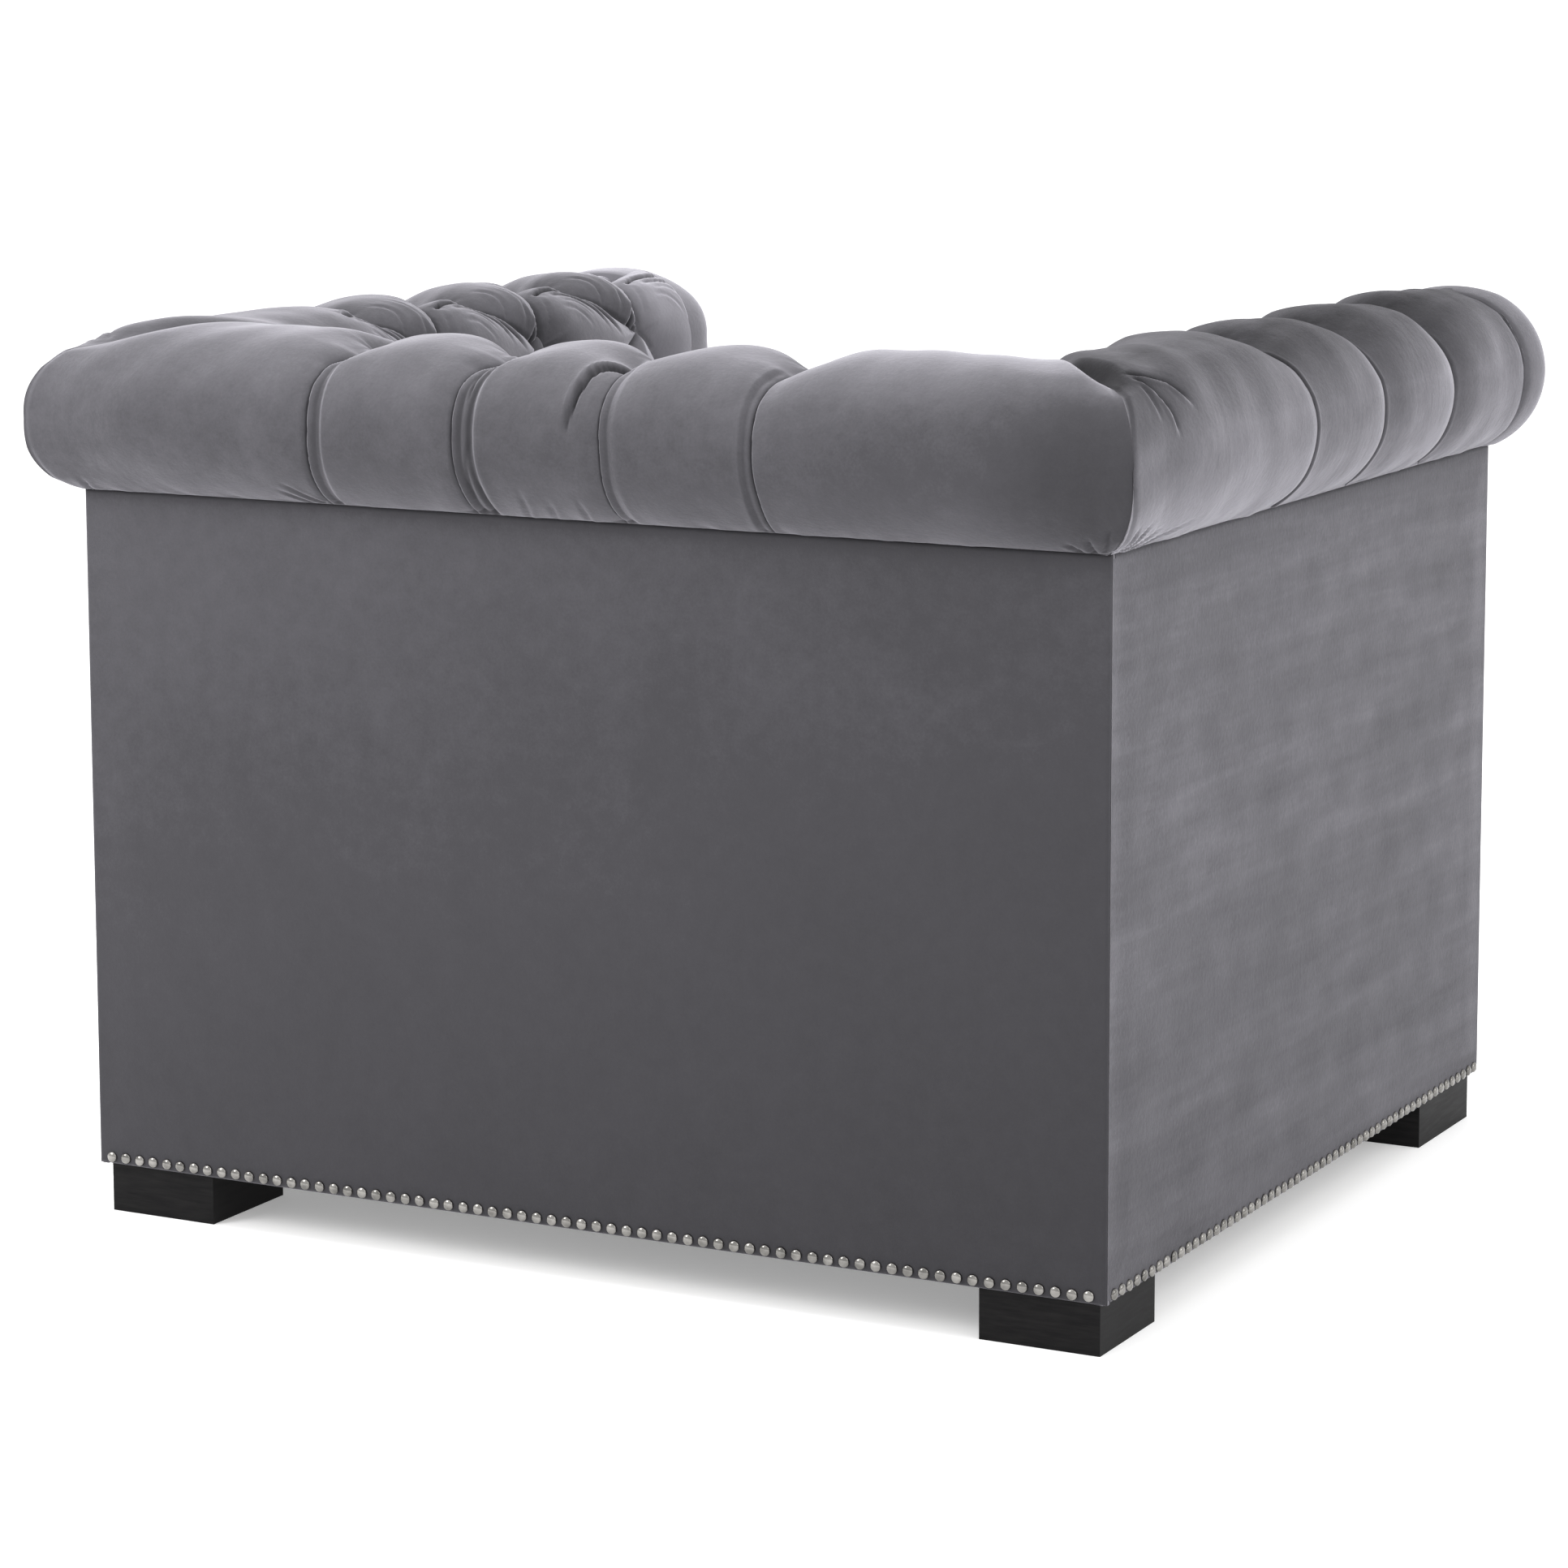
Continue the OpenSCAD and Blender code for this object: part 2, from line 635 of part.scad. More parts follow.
// Outline of an arm's front, in [x, z], out to x = side
border_x = half_w - inside_reach;
front_curve_n = 8;
function arm_front(side) = concat(
    [[border_x, foot_h], [side, foot_h], [side, crease_z]],
    [for (i = [0:front_curve_n]) let (s = skin(mix(end_runs_in, deck_run, i / front_curve_n), 0))
        [half_w + s.x, s.y]]);
module arm_front(side, y, t) {
    translate([0, y + t, 0]) rotate([90, 0, 0]) linear_extrude(t) polygon(arm_front(side));
}
module front_boards() {
    color(board) {
        arm_front(frame_x, front_y + panel_t, board_t);
        right() arm_front(frame_x, front_y + panel_t, board_t);
        box([gap - border_x, front_y + panel_t, foot_h], [border_x - gap, frame_front, deck_z]);
    }
}

// Outside covers over their wadding
module outside_back_panel() {
    color(velvet) box([-half_w, back_y - panel_t, foot_h], [half_w, back_y, crease_z]);
}
module outside_arm_panel_left() {
    color(velvet) box([board_x, front_y, foot_h], [half_w, back_y - panel_t, crease_z]);
}
module outside_arm_panel_right() { right() outside_arm_panel_left(); }
module arm_front_left() { color(velvet) arm_front(board_x, front_y, panel_t); }
module arm_front_right() { right() arm_front_left(); }
module front_border() {
    color(velvet) box([gap - border_x, front_y, foot_h],
                      [border_x - gap, front_y + panel_t, deck_z]);
}

// A decorative nail, its head outward along +Z and its shank in the panel
nail_margin = nail_l + shank_d / 2 + nail_clear;
head_sides = 5;
shank_sides = 3;
module nail() {
    cylinder(d = nail_d, h = nail_h, $fn = head_sides);
    translate([0, 0, -nail_l]) cylinder(d = shank_d, h = nail_l + nail_h / 2, $fn = shank_sides);
}
module nail_row(length, count) {
    for (i = [0:count - 1])
        translate([mix(nail_margin - length / 2, length / 2 - nail_margin, i / (count - 1)), 0,
                   foot_h + nail_up]) rotate([-90, 0, 0]) nail();
}
module nails_back() { color(nickel) translate([0, back_y, 0]) nail_row(body_w, nails_wide); }
module nails_front() {
    color(nickel) translate([0, front_y, 0]) rotate([0, 0, 180]) nail_row(body_w, nails_wide);
}
module nails_left() {
    color(nickel) translate([half_w, (back_y + front_y) / 2, 0]) rotate([0, 0, -90])
        nail_row(body_d, nails_deep);
}
module nails_right() { right() nails_left(); }

// Block feet, bored from above for the bolt and from below for the glide
module foot(depth) {
    difference() {
        translate([-foot_w / 2, -depth / 2, 0]) cube([foot_w, depth, foot_h]);
        translate([0, 0, foot_h - bolt_in]) cylinder(d = bolt_d + 2 * play, h = bolt_in + 1);
        translate([0, 0, -1]) hole(glide_d + 2 * play, 1 + glide_t);
    }
}
module feet_rear() {
    color(black) for (x = [-foot_x, foot_x]) translate([x, rear_foot_y, 0]) foot(rear_foot_d);
}
module feet_front() {
    color(black) for (x = [-foot_x, foot_x]) translate([x, front_foot_y, 0]) foot(front_foot_d);
}
module foot_bolts() {
    color(steel) at_feet() translate([0, 0, foot_h - bolt_in])
        cylinder(d = bolt_d, h = bolt_in + dust_t + bolt_up);
}
module tee_nuts() {
    color(steel) at_feet() translate([0, 0, rail_z]) difference() {
        union() {
            disc(flange_d, flange_t);
            disc(nut_d, flange_t + nut_l);
        }
        translate([0, 0, -1]) hole(bolt_d + play, flange_t + nut_l + 2);
    }
}
module foot_glides() { color(steel) at_feet() disc(glide_d, glide_t); }

// Loose seat cushion: boxed, crowned and drawn in between its corners
cushion_x = half_w - inside_reach - 5 * gap;
cushion_front = front_y - cushion_out;
cushion_back = back_y - inside_reach - back_lean - 5 * gap;
cushion_mid = (cushion_front + cushion_back) / 2;
cushion_y = (cushion_back - cushion_front) / 2;
cushion_z = deck_z + gap;
round_n = 52;
square = 14;
// Plan outline at angle a: a squared oval whose sides draw in midway
function squared(a) = let (k = pow(pow(abs(cos(a)), square) + pow(abs(sin(a)), square), -1 / square))
    [cos(a) * k, sin(a) * k];
function drawn(q) = [q.x * (cushion_x - side_draw * pow(cos(90 * q.y), 2)),
                     q.y * (cushion_y - side_draw * pow(cos(90 * q.x), 2))];
// Rings of the cushion: [share of the outline, swell, height]
seam_in = 4;
cushion_rings = [
    [0.55, 0, 0], [0.95, 0, 0], [1, -boxing_swell, seam_in], [1, 0, cushion_t / 2],
    [1, -boxing_swell, cushion_t - seam_in], [0.95, 0, cushion_t + cushion_crown * 0.3],
    [0.8, 0, cushion_t + cushion_crown * 0.72], [0.5, 0, cushion_t + cushion_crown * 0.95]
];
module cushion_form() {
    n = round_n;
    r = len(cushion_rings);
    polyhedron(
        concat(
            [for (c = cushion_rings, k = [0:n - 1])
                let (u = squared(360 * (k + 0.5) / n), d = drawn(u), s = d * c[0] + u * c[1])
                [s.x, cushion_mid + s.y, cushion_z + c[2]]],
            [[0, cushion_mid, cushion_z], [0, cushion_mid, cushion_z + cushion_t + cushion_crown]]),
        concat(
            [for (k = [0:n - 1]) [r * n, k, (k + 1) % n]],
            [for (i = [0:r - 2], k = [0:n - 1]) let (o = i * n, m = (k + 1) % n)
                each [[o + k, o + n + m, o + m], [o + k, o + n + k, o + n + m]]],
            [for (k = [0:n - 1]) let (o = (r - 1) * n) [r * n + 1, o + (k + 1) % n, o + k]]
        ));
}
// Zip in the rear boxing: its slider rides clear of the tape in a recess
zip_z = cushion_z + cushion_t / 2;
zip_floor = cushion_back - zip_recess;
slider_l = 14;
slider_w = 10;
slider_t = 3;
pull_l = 11;
tape_t = 1.5;
zip_edge = 2;
zip_end = 4;
zip_half_h = zip_h / 2 + zip_edge;
module core_box(e) {
    box([wrap_t - cushion_x - e, cushion_front + wrap_t - e, cushion_z + wrap_z - e],
        [cushion_x - wrap_t + e, cushion_back - wrap_t + e, cushion_z + cushion_t - wrap_z + e]);
}
module cushion_core() { color(foam) core_box(0); }
module zip_tape() {
    color(black) box([-zip_l / 2, zip_floor, zip_z - zip_h / 2],
                     [zip_l / 2, zip_floor + tape_t, zip_z + zip_h / 2]);
}
module cushion_cover() {
    color(velvet) difference() {
        cushion_form();
        core_box(play);
        box([-zip_l / 2 - zip_end, zip_floor, zip_z - zip_half_h],
            [zip_l / 2 + zip_end, cushion_back + zip_recess, zip_z + zip_half_h]);
    }
}
module zip_slider() {
    color(nickel) translate([-zip_l / 2, zip_floor + tape_t + gap, zip_z]) {
        translate([0, 0, -slider_w / 2]) cube([slider_l, slider_t, slider_w]);
        translate([1, slider_t - 1, -pull_l]) cube([slider_l / 2, 2, pull_l]);
    }
}

rail_front();
rail_back();
rail_left();
rail_right();
corner_blocks();
back_post_left();
back_post_right();
front_post_left();
front_post_right();
back_top_rail();
arm_top_rail_left();
arm_top_rail_right();
back_tack_rail();
arm_tack_rail_left();
arm_tack_rail_right();
seat_rail_front();
seat_rail_back();
seat_rail_left();
seat_rail_right();
seat_springs();
spring_clips();
webbing();
spring_burlap();
deck_padding();
deck_cover();
dust_cover();
back_roll_core();
arm_roll_core_left();
arm_roll_core_right();
back_pad();
arm_pad_left();
arm_pad_right();
roll_end_left();
roll_end_right();
back_buttons();
arm_buttons_left();
arm_buttons_right();
outside_back_board();
outside_arm_board_left();
outside_arm_board_right();
front_boards();
outside_back_panel();
outside_arm_panel_left();
outside_arm_panel_right();
arm_front_left();
arm_front_right();
front_border();
nails_back();
nails_left();
nails_right();
nails_front();
feet_rear();
feet_front();
foot_bolts();
tee_nuts();
foot_glides();
cushion_cover();
cushion_core();
zip_tape();
zip_slider();
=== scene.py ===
"""Looks of the rolled-arm tufted armchair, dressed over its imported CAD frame.

Lengths are in millimetres until a mesh is made. The sitter faces -Y and the left arm is at +X.
"""
import json
import math

import bpy
import numpy as np
from mathutils import Matrix, Vector


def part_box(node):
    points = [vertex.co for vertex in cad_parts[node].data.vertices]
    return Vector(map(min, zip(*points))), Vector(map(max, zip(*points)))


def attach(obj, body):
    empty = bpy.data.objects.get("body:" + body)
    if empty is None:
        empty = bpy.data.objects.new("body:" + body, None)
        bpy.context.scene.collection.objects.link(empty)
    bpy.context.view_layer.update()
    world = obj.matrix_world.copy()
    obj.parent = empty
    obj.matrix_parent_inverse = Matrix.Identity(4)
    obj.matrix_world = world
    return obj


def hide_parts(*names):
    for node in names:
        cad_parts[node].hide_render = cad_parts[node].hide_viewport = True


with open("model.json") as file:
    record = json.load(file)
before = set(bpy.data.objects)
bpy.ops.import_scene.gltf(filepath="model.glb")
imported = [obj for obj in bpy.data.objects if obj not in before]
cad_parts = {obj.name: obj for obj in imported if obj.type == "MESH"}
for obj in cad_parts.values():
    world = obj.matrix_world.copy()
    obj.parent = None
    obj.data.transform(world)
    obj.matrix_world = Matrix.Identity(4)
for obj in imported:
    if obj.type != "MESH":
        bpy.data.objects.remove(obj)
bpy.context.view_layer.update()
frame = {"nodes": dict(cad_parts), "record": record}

MM = 0.001


# ---- Sizes, the same as in the part's source ----
HALF_W, BACK_Y, FRONT_Y, CREASE_Z, FOOT_H = 470.0, 410.5, -435.5, 624.0, 43.0
WALL, PANEL_T = 12.0, 9.0
ROLL_W, ROLL_H, ROLL_OUT, ARM_OUT = 183.0, 141.0, 55.0, 43.0
CORNER_OUT, CORNER_DIP, CORNER_RUN = 33.0, 0.10, 130.0
INSIDE, LEAN, DECK_Z, CUSHION_T = 172.0, 45.0, 318.0, 145.0
ROW, ROWS, FOLD, DIMPLE, DIMPLE_W = 105.0, 3, 15.0, 9.0, 30.0
BACK_CORNER, ARM_CORNER, CORE_H, PAD_IN = 268.0, 307.0, 76.0, 59.3
PLAY, GAP = 0.2, 0.3
FRAME_FRONT = FRONT_Y + WALL
ROLL_A = ROLL_W / 2
ROLL_C = ROLL_OUT - ROLL_A
CREASE_ANGLE = -math.acos(-ROLL_C / ROLL_A)
ROLL_B = ROLL_H / (1 - math.sin(CREASE_ANGLE))
ROLL_Z = CREASE_Z + ROLL_H - ROLL_B
BUTTON_ANGLE = math.radians(97)
MEAN_R = (ROLL_A + ROLL_B) / 2
OUTER_RUN = (BUTTON_ANGLE - CREASE_ANGLE) * MEAN_R
TOP_RUN = (math.pi - BUTTON_ANGLE) * MEAN_R
LAST_ROW = ROWS * ROW
INTO_CREASE = TOP_RUN + ROLL_Z - CREASE_Z       # run at which the inside face is level with the crease
DECK_RUN = TOP_RUN + ROLL_Z - DECK_Z - GAP
BACK_FIRST = HALF_W - BACK_CORNER
BACK_BAY = 2 * BACK_FIRST / 3
ARM_FIRST = BACK_Y - ARM_CORNER
ARM_BAY = (ARM_FIRST - FRAME_FRONT) / 3


# ---- Camera, first of all. Place in metres, then azimuth, pitch and roll in degrees ----
CAMERA_PLACE, CAMERA_TURN = (-1.89476, 3.65296, 1.09921), (-152.3115, 8.195, -0.1383)
LENS, SENSOR, SHIFT_Y = 109.344, 36.0, -0.1170


def make_camera():
    data = bpy.data.cameras.new("camera")
    data.lens, data.sensor_width, data.shift_y = LENS, SENSOR, SHIFT_Y
    data.clip_end = 100
    cam = bpy.data.objects.new("camera", data)
    bpy.context.scene.collection.objects.link(cam)
    azimuth, pitch, roll = (math.radians(a) for a in CAMERA_TURN)
    level = math.cos(pitch)
    ahead = Vector((-math.sin(azimuth) * level, math.cos(azimuth) * level, -math.sin(pitch)))
    right = ahead.cross(Vector((0, 0, 1))).normalized()
    up = right.cross(ahead)
    c, s = math.cos(roll), math.sin(roll)
    turned = Matrix((right * c + up * s, up * c - right * s, -ahead)).transposed().to_4x4()
    cam.matrix_world = Matrix.Translation(CAMERA_PLACE) @ turned
    bpy.context.scene.camera = cam


make_camera()


# ---- Materials ----
MATS = {}


class Shader:
    """One material, with short calls for its nodes. A socket takes a number, a colour or an output."""

    def __init__(self, name, **sockets):
        self.mat = MATS[name] = bpy.data.materials.new(name)
        self.mat.use_nodes = True
        self.tree = self.mat.node_tree
        self.bsdf = self.tree.nodes["Principled BSDF"]
        self.to(**sockets)
        self.place = self.node("ShaderNodeTexCoord", {}).outputs["Object"]

    def fill(self, n, sockets):
        for key, value in sockets.items():
            if isinstance(value, bpy.types.NodeSocket):
                self.tree.links.new(value, n.inputs[key])
            else:
                n.inputs[key].default_value = value

    def to(self, **sockets):
        """Sets the shader's own sockets."""
        self.fill(self.bsdf, {key.replace("_", " "): value for key, value in sockets.items()})

    def node(self, kind, sockets, **props):
        n = self.tree.nodes.new(kind)
        for key, value in props.items():
            setattr(n, key, value)
        self.fill(n, sockets)
        return n

    def stretched(self, scale):
        return self.node("ShaderNodeMapping", {"Scale": scale, "Vector": self.place}).outputs["Vector"]

    def noise(self, scale, detail=3, rough=0.55, vector=None, distort=0):
        return self.node("ShaderNodeTexNoise", {"Scale": scale, "Detail": detail, "Roughness": rough,
                                                "Distortion": distort, "Vector": vector or self.place}).outputs["Fac"]

    def wave(self, scale, direction="X", distort=0, vector=None, detail=2):
        n = self.node("ShaderNodeTexWave", {"Scale": scale, "Distortion": distort, "Detail": detail,
                                            "Vector": vector or self.place}, bands_direction=direction)
        return n.outputs["Fac"]

    def voronoi(self, scale):
        return self.node("ShaderNodeTexVoronoi", {"Scale": scale, "Vector": self.place}).outputs["Distance"]

    def math(self, op, a, b=0.0, clamp=False):
        return self.node("ShaderNodeMath", {0: a, 1: b}, operation=op, use_clamp=clamp).outputs[0]

    def spread(self, value, a, b, lo=0.0, hi=1.0):
        return self.node("ShaderNodeMapRange", {"Value": value, "From Min": a, "From Max": b, "To Min": lo,
                                                "To Max": hi}).outputs["Result"]

    def ramp(self, value, *stops):
        n = self.node("ShaderNodeValToRGB", {"Fac": value})
        while len(n.color_ramp.elements) < len(stops):
            n.color_ramp.elements.new(0.5)
        for e, (at, colour) in zip(n.color_ramp.elements, stops):
            e.position, e.color = at, (*colour, 1)
        return n.outputs["Color"]

    def bump(self, *layers):
        """layers: (height, strength, distance), from the broadest to the finest."""
        last = {}
        for height, strength, distance in layers:
            n = self.node("ShaderNodeBump", {"Strength": strength, "Distance": distance, "Height": height, **last})
            last = {"Normal": n.outputs["Normal"]}
        self.to(**last)

    def two_tone(self, texture, low, high, rough=None, bumps=()):
        """Two colours, (level, colour) each, and a roughness, from one texture."""
        self.to(Base_Color=self.ramp(texture, low, high))
        if rough:
            self.to(Roughness=self.spread(texture, *rough))
        self.bump(*bumps)


VIOLET = 0.11


def grey(value):
    """The velvet's grey, a little towards violet."""
    return (value * (1 + VIOLET * 0.25), value, value * (1 + VIOLET))


def blend_of(s, *parts):
    """The sum of (output, share) pairs, added from the last to the first."""
    total = s.math("MULTIPLY", *parts[-1])
    for output, share in parts[-2::-1]:
        total = s.math("ADD", s.math("MULTIPLY", output, share), total)
    return total


def velvet(name, middle, sheen, contrast=0.5, streaks=0.0, patches=9.0):
    """Short velvet pile: dark where it faces, pale at a glance, with its tone brushed into random patches and painted
    light and shade from a vertex attribute.
    """
    s = Shader(name, Roughness=0.85, Sheen_Weight=sheen, Sheen_Roughness=0.42,
               Sheen_Tint=(0.90, 0.88, 0.96, 1), Specular_IOR_Level=0.12)
    soft = s.noise(patches, 4, 0.62, distort=0.6)
    fine = s.noise(70, 3, 0.6)
    long = s.noise(5, 4, 0.65, s.stretched((0.6, 0.6, 7)))
    grain = s.noise(430, 3, 0.75)
    nap_and_painted_light = blend_of(s, (soft, 0.48), (fine, 0.26), (grain, 0.26))
    if streaks:
        nap_and_painted_light = blend_of(s, (nap_and_painted_light, 1 - streaks), (long, streaks))
    swing = s.math("MULTIPLY", s.math("SUBTRACT", nap_and_painted_light, 0.5), contrast)
    # The vertex attribute holds painted light and shade (lighter and darker bands, painted shade in creases, painted
    # highlights on lips) with a little brushed tone of the pile
    painted_light_and_pile = s.node("ShaderNodeAttribute", {}, attribute_name="nap_and_painted_light").outputs["Fac"]
    place = s.math("ADD", s.math("ADD", swing, 0.5), painted_light_and_pile, clamp=True)
    s.to(Base_Color=s.ramp(place, (0.0, grey(middle * 0.30)), (0.5, grey(middle)), (1.0, grey(middle * 3.0))))
    s.to(Roughness=s.spread(soft, 0.3, 0.7, 0.78, 0.95))
    # The painted light and shade also set the sheen weight, so painted dark places lose sheen and painted light
    # places gain it
    s.to(Sheen_Weight=s.spread(place, 0.0, 1.0, 0.12 * sheen, 1.88 * sheen))
    pile = s.noise(1500, 2, 0.6)
    brushed = s.noise(240, 3, 0.6)
    s.bump((soft, 0.10, 0.004), (brushed, 0.20, 0.0013), (pile, 0.30, 0.0004))


def make_materials():
    velvet("velvet", 0.052, 0.55)
    velvet("velvet_back", 0.044, 0.50, 0.4, patches=5)
    velvet("velvet_side", 0.046, 0.50, 0.9, streaks=0.45, patches=7)
    s = Shader("nickel", Metallic=1.0, Roughness=0.16)
    s.two_tone(s.noise(90, 3, 0.5), (0.35, (0.17, 0.165, 0.155)), (0.65, (0.30, 0.29, 0.275)),
               (0.35, 0.7, 0.10, 0.26), [(s.noise(700, 2, 0.5), 0.05, 0.0002)])
    s = Shader("black_wood", Roughness=0.5, Specular_IOR_Level=0.08)
    grain = s.noise(30, 5, 0.6, s.stretched((1, 1, 9)))
    s.two_tone(grain, (0.3, (0.004, 0.004, 0.0045)), (0.7, (0.012, 0.0115, 0.0115)), (0.3, 0.7, 0.42, 0.56),
               [(grain, 0.10, 0.0006), (s.noise(260, 2, 0.5), 0.08, 0.0003)])
    s = Shader("steel", Metallic=1.0, Roughness=0.32)
    drawn = s.noise(160, 3, 0.6, s.stretched((1, 0.1, 1)))
    s.two_tone(drawn, (0.3, (0.33, 0.34, 0.36)), (0.7, (0.55, 0.56, 0.58)), (0.3, 0.7, 0.24, 0.44),
               [(drawn, 0.08, 0.0003)])
    s = Shader("glide", Roughness=0.5)
    scuff = s.noise(120, 4, 0.6)
    s.two_tone(scuff, (0.3, (0.20, 0.20, 0.20)), (0.7, (0.30, 0.30, 0.29)), bumps=[(scuff, 0.15, 0.0004)])
    s = Shader("foam", Roughness=0.95)
    cells = s.voronoi(420)
    s.two_tone(cells, (0.0, (0.62, 0.55, 0.38)), (0.5, (0.83, 0.78, 0.62)), bumps=[(cells, 0.35, 0.0008)])
    s = Shader("jute", Roughness=0.92)
    warp, weft = s.wave(170, "X"), s.wave(170, "Y")
    weave = s.math("MAXIMUM", warp, s.math("MAXIMUM", weft, s.wave(170, "Z")))
    uneven = s.math("MULTIPLY", weave, s.noise(45, 3))
    s.two_tone(uneven, (0.1, (0.20, 0.14, 0.07)), (0.6, (0.46, 0.35, 0.20)), bumps=[(weave, 0.6, 0.0012)])
    s = Shader("black_cloth", Roughness=0.9, Sheen_Weight=0.15)
    fibre = s.noise(300, 4, 0.7)
    s.two_tone(fibre, (0.35, (0.010, 0.010, 0.011)), (0.65, (0.030, 0.030, 0.032)), bumps=[(fibre, 0.3, 0.0005)])
    s = Shader("board", Roughness=0.88)
    felt = s.noise(150, 4, 0.7)
    s.two_tone(felt, (0.3, (0.36, 0.26, 0.15)), (0.7, (0.54, 0.42, 0.27)), bumps=[(felt, 0.2, 0.0006)])
    s = Shader("frame_wood", Roughness=0.62)
    rings = s.wave(14, "Z", 7, s.stretched((0.5, 0.5, 2.5)), 3)
    s.two_tone(rings, (0.0, (0.44, 0.29, 0.14)), (1.0, (0.66, 0.49, 0.29)), (0, 1, 0.52, 0.7),
               [(s.noise(60, 4, 0.6, s.stretched((1, 1, 6))), 0.2, 0.0008)])


make_materials()


# ---- Mesh helpers ----
def ease(t):
    c = np.clip(t, 0, 1)
    return c * c * (3 - 2 * c)


def mix(a, b, t):
    return a + (b - a) * t


def add_mesh(name, points, faces, material, smooth=True):
    """An object from points in mm. faces is an array of quads, or a list of faces of any length."""
    mesh = bpy.data.meshes.new(name)
    faces = [f for block in faces for f in (block.tolist() if isinstance(block, np.ndarray) else block)]
    mesh.from_pydata((np.asarray(points, float) * MM).tolist(), [], faces)
    mesh.polygons.foreach_set("use_smooth", [smooth] * len(mesh.polygons))
    mesh.materials.append(MATS[material])
    obj = bpy.data.objects.new(name, mesh)
    bpy.context.scene.collection.objects.link(obj)
    return obj


def quads(rows, cols, base=0, wrap=False, flip=False):
    """Quads of a grid stored row by row; wrap joins the last column to the first."""
    i = np.arange(rows - 1)[:, None]
    j = np.arange(cols if wrap else cols - 1)[None, :]
    k = (j + 1) % cols
    f = np.stack([i * cols + j, i * cols + k, (i + 1) * cols + k, (i + 1) * cols + j], -1).reshape(-1, 4) + base
    return f[:, ::-1] if flip else f


def lids(n, k, base=0, flip=False):
    """The two end faces of a grid of n rings of k points."""
    first, last = [base + j for j in range(k)], [base + (n - 1) * k + j for j in range(k)]
    return [first, last[::-1]] if flip else [first[::-1], last]


def rim_of(n, k):
    """The points round the edge of an n by k grid, in order."""
    return [i * k for i in range(n)] + [(n - 1) * k + j for j in range(1, k)] \
        + [i * k + k - 1 for i in range(n - 2, -1, -1)] + [j for j in range(k - 2, 0, -1)]


def paint_pile_and_light(obj, nap_and_painted_light):
    """Painted light and shade with some of the pile's brushed tone, one number a vertex: below 0 reads darker, above
    0 lighter.
    """
    layer = obj.data.attributes.new("nap_and_painted_light", "FLOAT", "POINT")
    layer.data.foreach_set("value", np.asarray(nap_and_painted_light, float).ravel())


def dress(obj, body, replaces=()):
    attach(obj, body)
    if replaces:
        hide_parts(*replaces)
    return obj


def ripple(seed, lengths, amount):
    """Smooth uneven surface of two coordinates, in mm, the same each run."""
    rng = np.random.default_rng(seed)
    waves = [(2 * math.pi / (L * rng.uniform(0.8, 1.25)), rng.uniform(0, math.pi), rng.uniform(0, 2 * math.pi))
             for L in lengths for _ in range(4)]

    def at(a, b):
        total = 0
        for k, turn, phase in waves:
            total = total + np.sin(k * (a * math.cos(turn) + b * math.sin(turn)) + phase)
        return total * amount / math.sqrt(len(waves))
    return at


# ---- Section of the rolls ----
def section(v, lean):
    """Overhang and height v mm down the run from the crown's buttons, the outside at v below 0."""
    a = BUTTON_ANGLE + v / MEAN_R
    down = ease((v - TOP_RUN) / (ROLL_Z - DECK_Z - CUSHION_T))
    out = np.where(v <= TOP_RUN, ROLL_C + ROLL_A * np.cos(a), mix(ROLL_C - ROLL_A, -INSIDE - lean, down))
    up = np.where(v <= TOP_RUN, ROLL_Z + ROLL_B * np.sin(a), ROLL_Z - v + TOP_RUN)
    return out, up


def bent(out, up, d, reach):
    """The section's overhang and height at distance d from the mitre."""
    w = ease(1 - d / CORNER_RUN)
    out = np.where(out > 0, out * mix(reach, CORNER_OUT, w) / ROLL_OUT, out)
    up = np.where(up > CREASE_Z, mix(up, CREASE_Z, CORNER_DIP * w), up)
    return out, up


def to_mitre(run, first, edge, corner, out):
    """A run along the chair, stretched to the mitre's plane past the last button."""
    return np.where(run <= first, run, first + (run - first) * (edge + out - PLAY - first) / corner)


def back_place(r, out, up):
    x = np.sign(r) * to_mitre(np.abs(r), BACK_FIRST, HALF_W, BACK_CORNER, out)
    return np.stack([x, BACK_Y + out, up], -1)


def arm_place(r, out, up):
    """The left arm's; r is the place along Y."""
    return np.stack([HALF_W + out, to_mitre(r, ARM_FIRST, BACK_Y, ARM_CORNER, out), up], -1)


def back_skin(r, v):
    d = HALF_W - np.abs(r)
    out, up = bent(*section(v, LEAN * ease(d / BACK_CORNER)), d, ROLL_OUT)
    return back_place(r, out, up)


def arm_skin(r, v):
    d = BACK_Y - r
    out, up = bent(*section(v, 0), d, ARM_OUT)
    return arm_place(r, out, up)


# The pads' lining, as overhang and height
LINING = [(4 - WALL, CREASE_Z), (4 - WALL, CREASE_Z + CORE_H - 14), (-WALL - 10, CREASE_Z + CORE_H),
          (-PAD_IN + 14, CREASE_Z + CORE_H), (-PAD_IN, CREASE_Z + CORE_H - 14), (-PAD_IN, DECK_Z + GAP)]


def table(v, *rows):
    v0, y0 = zip(*rows)
    return np.interp(v, v0, y0)


def mirrored(profile):
    return [(-x, y) for x, y in profile[::-1]]


def rounded(path):
    """The path with its corners cut twice."""
    p = np.array(path, float)
    for _ in range(2):
        cut = np.stack([mix(p[:-1], p[1:], 0.25), mix(p[:-1], p[1:], 0.75)], 1).reshape(-1, 2)
        p = np.concatenate([p[:1], cut, p[-1:]])
    return p


